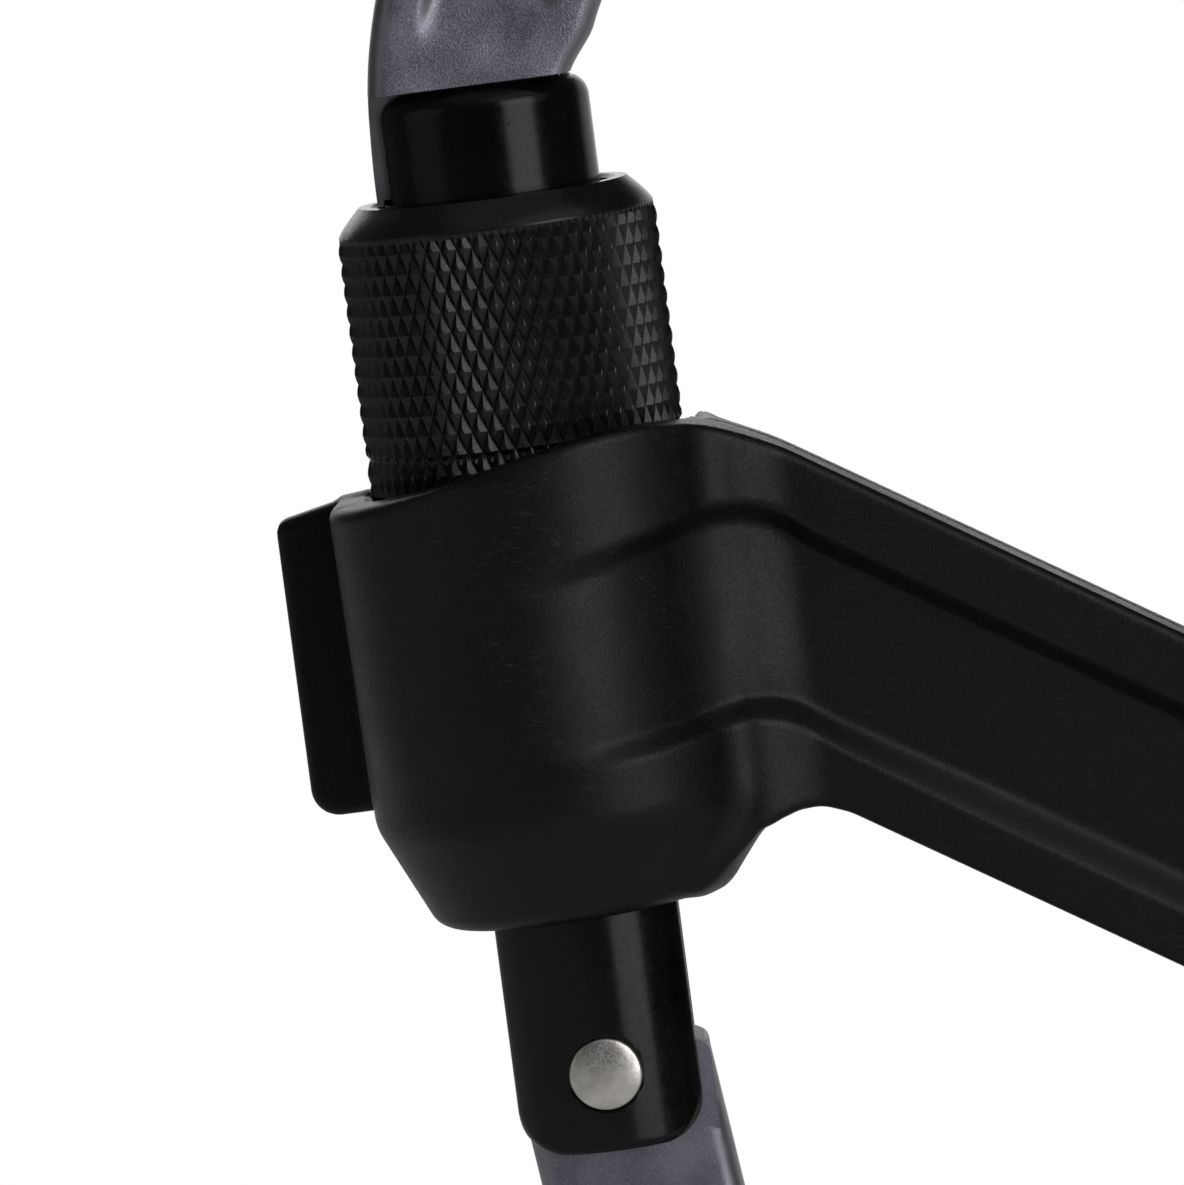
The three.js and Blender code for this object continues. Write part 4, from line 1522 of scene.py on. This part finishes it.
    def arm_line(self, across: float, *places: float) -> list[Pair]:
        """Corners, at some places in x, of a line along the arm, a given way across it."""
        high = across / math.cos(self.arm_drop)
        return [(x, self.arm_anchor - x * math.tan(self.arm_drop) + high) for x in places]

    def top_edge(self, x: Array) -> tuple[Array, Array]:
        """The upper edge of cup and arm, with the hump between them, and its slope's cosine."""
        return flowing(x, [*self.cup_top, *self.arm_line(self.arm_half, 13.1, 70.0)], 0.9)

    def low_edge(self, x: Array) -> tuple[Array, Array]:
        """The lower edge of skirt and arm, with the hollow between them, and its slope's cosine."""
        return flowing(x, [*self.skirt_line, *self.arm_line(-self.arm_low, 14.44, 70.0)], 0.35)

    def cup_and_arm(self, at: Place) -> Array:
        """The cup and the arm, whose skirt comes down to the cup's foot.

        Args:
            at: places in the gate's frame.

        Returns:
            The field.
        """
        x, y, z = at
        r = np.hypot(x, y)
        rise = z - self.cup_foot
        under = self.cup_foot + self.foot_tilt * x - z
        lower = (r - self.foot_radius - rise * self.foot_slope) * self.foot_share
        upper = r - self.crease_radius - (z - self.cup_crease) * self.cup_slope
        cup = round_max(smooth_max(lower, upper, self.crease_width), under, self.foot_rounding)
        front = self.arm_front + self.arm_swell * (1 - smoothstep(x, *self.swell_reach))
        cone = (r - self.skirt_radius - rise / self.skirt_slope) * self.skirt_share
        skirt = round_max(cone, under, self.foot_rounding)
        widest = self.skirt_radius + self.skirt_top - self.cup_foot + 0.1
        beyond = np.maximum(z - self.skirt_top, x - widest)
        arm = np.maximum(span(y, -front, self.arm_back), self.arm_root - x)
        arm = round_max(arm, np.minimum(skirt, -beyond), self.edge_rounding)
        return round_min(cup, arm, self.valley)

    def outside(self, at: Place) -> Array:
        """The clip's outer surface, before it is hollowed and split.

        Args:
            at: places in the gate's frame.

        Returns:
            The field.
        """
        x, y, z = at
        top, top_share = self.top_edge(x)
        low, low_share = self.low_edge(x)
        body = round_max(self.cup_and_arm(at), (z - top) * top_share, self.edge_rounding)
        body = round_max(body, (low - z) * low_share, self.edge_rounding)
        u, w = self.in_spine(x, z)
        away = np.hypot(u, y)
        ends = np.maximum(away - self.relief, self.collar_half - np.abs(w))
        body = np.maximum(np.maximum(body, -ends), u)
        collar = round_max(away - self.collar_radius, np.abs(w) - self.collar_half, self.collar_rounding)
        body = round_max(round_min(body, collar, self.collar_fillet), -ends, 0.15)
        return body + self.panel(at, u)

    def panel(self, at: Place, u: Array) -> Array:
        """How deep the recessed panel lies, on the arm and round onto the cup, where it fades.

        Args:
            at: places in the gate's frame.
            u: distance behind the spine's axis, negative towards the gate.

        Returns:
            Depths.
        """
        x, y, z = at
        reach, across = self.on_arm(x, z)
        high, low = (np.interp(x, *np.array(line).T) for line in (self.panel_top_line, self.panel_low_line))
        arm_share = smoothstep(x, *self.panel_turn)
        above = arm_share * (across - self.panel_half) + (1 - arm_share) * (z - high)
        below = arm_share * (-self.panel_half - across) + (1 - arm_share) * (low - z)
        low_step = between(self.panel_step, self.panel_low_step, smoothstep(reach, 14.0, 30.0))
        share = np.clip(np.minimum(-above, -u - self.panel_end) / self.panel_step + 0.5, 0, 1)
        share = np.minimum(share, np.clip(-below / low_step + 0.5, 0, 1))
        share = 0.7 * share + 0.3 * share * share * (3 - 2 * share)
        return self.panel_depth * share * smoothstep(x, *self.panel_fade) * np.clip(-y - 1.2, 0, 1)

    def opened(self, body: Array, at: Place) -> Array:
        """Cuts the opening at the cup's back, through which the gate comes out.

        Args:
            body: field to cut.
            at: places in the gate's frame.

        Returns:
            The field.
        """
        x, y, z = at
        back = np.maximum(np.abs(x) - self.opening, -y)
        body = round_max(body, -back, self.opening_rounding)
        corner = round_max(self.opening + self.corner_gap - x, z - self.top_edge(x)[0], self.corner_rounding)
        start = self.corner_start
        zone = np.minimum(np.minimum(y - start[1], x - start[0]), z - start[2])
        return np.maximum(body, np.minimum(corner, zone))

    def bored(self, body: Array, at: Place) -> Array:
        """Takes the collar's bore and the screws' holes out of a shell.

        Args:
            body: field to cut.
            at: places in the gate's frame.

        Returns:
            The field.
        """
        x, y, z = at
        body = round_max(body, self.journal - np.hypot(self.in_spine(x, z)[0], y), self.shell_rounding)
        depth = self.arm_back - self.screw_recess - self.head_height
        for sx, sz in self.screw_places():
            away = np.hypot(x - sx, z - sz)
            head = np.maximum(away - self.head_radius - 0.15, depth - y)
            hole = np.maximum(away - self.screw_radius - 0.05, -self.screw_hole_depth - y)
            body = np.maximum(body, -np.minimum(head, hole))
        return body

    def shell(self, at: Place, keep: Array, wall: Array | None = None) -> Array:
        """A shell: the outside, trimmed, opened, hollowed for the sleeve and bored.

        Args:
            at: places in the gate's frame.
            keep: field that it is trimmed by.
            wall: field that is added behind the cup.

        Returns:
            The field.
        """
        x, y, z = at
        body = self.opened(round_max(self.outside(at), keep, self.seam_rounding), at)
        if wall is not None:
            body = round_min(body, wall, self.shell_rounding)
        hollow = (np.hypot(x, y) - np.interp(z, self.funnel, [self.exit, self.bore])) * self.funnel_share
        return self.bored(round_max(body, -hollow, self.shell_rounding), at)

    def front_shell(self, at: Place) -> Array:
        """The front shell: cup, the leg behind it with its tab, and the front of arm and collar.

        Args:
            at: places in the gate's frame.

        Returns:
            The field.
        """
        x, y, z = at
        behind = np.maximum(x - self.shell_start, y - self.arm_back)
        keep = np.minimum(y - self.seam + self.seam_gap, behind)
        leg = round_max(span(x, *self.leg_sides), span(y, *self.leg_depths), self.leg_rounding)
        leg = round_max(leg, span(z, *self.leg_heights), self.leg_end_rounding)
        edge = -self.tab_reach - x
        slope = z - self.tab_top - (x + self.tab_reach) * self.tab_rise
        at_foot, at_top, at_sides = self.tab_roundings
        tab = np.maximum(round_max(edge, self.tab_foot - z, at_foot), round_max(edge, slope, at_top))
        tab = round_max(np.maximum(tab, x + self.opening), span(y, *self.tab_depths), at_sides)
        return self.shell(at, keep, round_min(leg, tab, self.tab_fillet))

    def rear_shell(self, at: Place) -> Array:
        """The rear shell: the back of arm and collar."""
        start, seam = self.shell_start + self.seam_gap / 2, self.seam + self.seam_gap
        return self.shell(at, round_max(start - at[0], seam - at[1], self.seam_rounding / 2))

    def screw(self) -> Solid:
        """A cap screw with a hexagon socket, its head to the rear.

        Returns:
            The screw, round its own axis.
        """
        top = self.arm_back - self.screw_recess
        neck, foot = top - self.head_height, top - self.screw_length
        body = turned(softened([
            (0.0, foot, 0), (self.screw_radius, foot, 0.25), (self.screw_radius, neck, 0.05),
            (self.head_radius, neck, 0.1), (self.head_radius, top, 0.22), (0.0, top, 0),
        ]), 48)
        angles = [k * TURN / 6 for k in range(6)]
        hexagon = [(self.socket_radius * math.cos(a), self.socket_radius * math.sin(a)) for a in angles]
        socket = slab(hexagon, top - self.socket_depth, top + 1, "y")
        return joined(body.laid((-1, 1, 1)), (Join.CUT, socket))


@dataclass
class Studio:
    """A pale floor, soft light, and the camera of the photograph.

    A lamp has its place in millimetres from the middle of the view, its width and height in metres
    and its power. A glow of the backdrop has its direction, where it starts and is full, and its
    strength.
    """

    target: Triple = (-26.73, 0.0, -48.92)
    distance: float = 520.0
    elevation: float = math.radians(5.8)
    frame_height: float = 62.37
    floor_drop: float = 2.0
    floor_size: float = 0.56
    lamps: tuple[tuple[str, Triple, float, float, float], ...] = (
        ("key_right", (470.0, -560.0, 220.0), 0.45, 0.8, 4.4),
        ("soft_above", (300.0, -280.0, 430.0), 0.55, 0.55, 0.5),
        ("soft_left", (-620.0, -260.0, 120.0), 0.5, 0.5, 0.3),
        ("soft_behind", (-150.0, 600.0, 350.0), 0.5, 0.5, 0.8),
    )
    glows: tuple[tuple[Triple, Pair, float], ...] = (
        ((0.0, 1.0, 0.0), (0.86, 0.98), 1.0),
        ((0.5, 0.87, 0.0), (0.9, 0.97), 0.6),
        ((-0.97, -0.1, 0.2), (0.1, 0.5), 0.06),
        ((0.0, -0.3, 0.95), (0.72, 0.95), 0.3),
    )

    def build(self, lowest: float) -> None:
        """Sets up the scene.

        Args:
            lowest: the object's lowest height, in metres.
        """
        bpy.context.scene.view_settings.view_transform = "Standard"
        self.camera()
        self.floor(lowest)
        self.world()
        for name, place, wide, tall, watts in self.lamps:
            data = bpy.data.lights.new(name, "AREA")
            data.shape = "RECTANGLE"
            data.size = wide
            data.size_y = tall
            data.energy = watts
            self.aim(linked(name, data), Vector(place))

    def aim(self, made: bpy.types.Object, way: Vector, distance: float = 1.0) -> None:
        """Places a lamp or the camera and points it at the middle of the view.

        Args:
            made: the object.
            way: the way to it, from the middle of the view.
            distance: how many times that way it is off.
        """
        made.location = (Vector(self.target) + way * distance) * METRES
        made.rotation_mode = "QUATERNION"
        made.rotation_quaternion = (-way).to_track_quat("-Z", "Y")

    def camera(self) -> None:
        """The camera, at the photograph's viewing angle."""
        data = bpy.data.cameras.new("camera")
        data.sensor_width = 36.0
        data.lens = data.sensor_width * self.distance / self.frame_height
        data.clip_start = 0.01
        data.clip_end = 50.0
        bpy.context.scene.camera = linked("camera", data)
        back = Vector((0.0, -math.cos(self.elevation), math.sin(self.elevation)))
        self.aim(bpy.context.scene.camera, back, self.distance)

    def floor(self, lowest: float) -> None:
        """A plain pale floor under the object, which keeps its shadow.

        Args:
            lowest: the object's lowest height, in metres.
        """
        half, height = self.floor_size / 2, lowest - self.floor_drop * METRES
        corners = [(-half, -half, height), (half, -half, height), (half, half, height), (-half, half, height)]
        mesh = bpy.data.meshes.new("floor")
        mesh.from_pydata(corners, [], [(0, 1, 2, 3)])
        material, graph, at = begun("floor_pale")
        away = graph.node("ShaderNodeVectorMath", {"operation": "LENGTH"}, {0: at}, "Value")
        seen = graph.ray("Is Camera Ray").maximum(graph.ray("Is Transmission Ray"))
        share = seen * away.ramp(90.0, 160.0, 0.6, 1.0) + graph.ray("Is Glossy Ray") * 0.1
        plain = graph.node("ShaderNodeBsdfDiffuse", {}, {"Color": (0.9, 0.9, 0.9, 1)})
        glow = graph.node("ShaderNodeEmission", {}, {"Color": (1, 1, 1, 1), "Strength": 1.0})
        mixed = graph.node("ShaderNodeMixShader", {}, {0: share, 1: plain, 2: glow})
        graph.node("ShaderNodeOutputMaterial", {}, {"Surface": mixed})
        mesh.materials.append(material)
        linked("floor", mesh)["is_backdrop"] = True

    def world(self) -> None:
        """White to the camera, and to metal and gloss a white backdrop with a dark room before it."""
        world = bpy.data.worlds.new("studio")
        bpy.context.scene.world = world
        world.use_nodes = True
        graph = Graph(world.node_tree)
        way = graph.node("ShaderNodeTexCoord", output="Generated")
        glows = (way.dot(middle).ramp(*edges) * strength for middle, edges, strength in self.glows)
        pattern = reduce(Channel.maximum, glows) + 0.04
        seen, glossy, through = (graph.ray(f"Is {kind} Ray") for kind in ("Camera", "Glossy", "Transmission"))
        soft = way.dot((0.0, 0.0, 1.0)).ramp(-1.0, 1.0, 0.1, 0.25)
        other = 1 - seen.maximum(glossy).maximum(through)
        strength = seen.maximum(through) + glossy * pattern + other * soft
        shine = graph.node("ShaderNodeBackground", {}, {"Color": (1, 1, 1, 1), "Strength": strength})
        graph.node("ShaderNodeOutputWorld", {}, {"Surface": shine})


def main() -> None:
    """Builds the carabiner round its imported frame."""
    logging.basicConfig(level=logging.INFO, format="%(message)s")
    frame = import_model()
    cad_box = [list(corner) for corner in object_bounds()]
    joints = {joint["name"]: joint for joint in frame["joints"]}
    hinge, pivot = (tuple(v / METRES for v in joints[name]["pos_m"]) for name in ("gate_swing", "clip_swing"))
    spine_axis = joints["clip_swing"]["axis"]
    gate = Placement(hinge, GATE_LEAN)
    spine = Placement(pivot, math.atan2(spine_axis[0], spine_axis[2]))
    shop = Workshop(frame["nodes"])
    ForgedFrame(gate, spine).build(shop)
    ScrewGate(gate).build(shop)
    SwingClip(gate, spine).build(shop)
    Studio().build(cad_box[0][2])


if __name__ == "__main__":
    main()
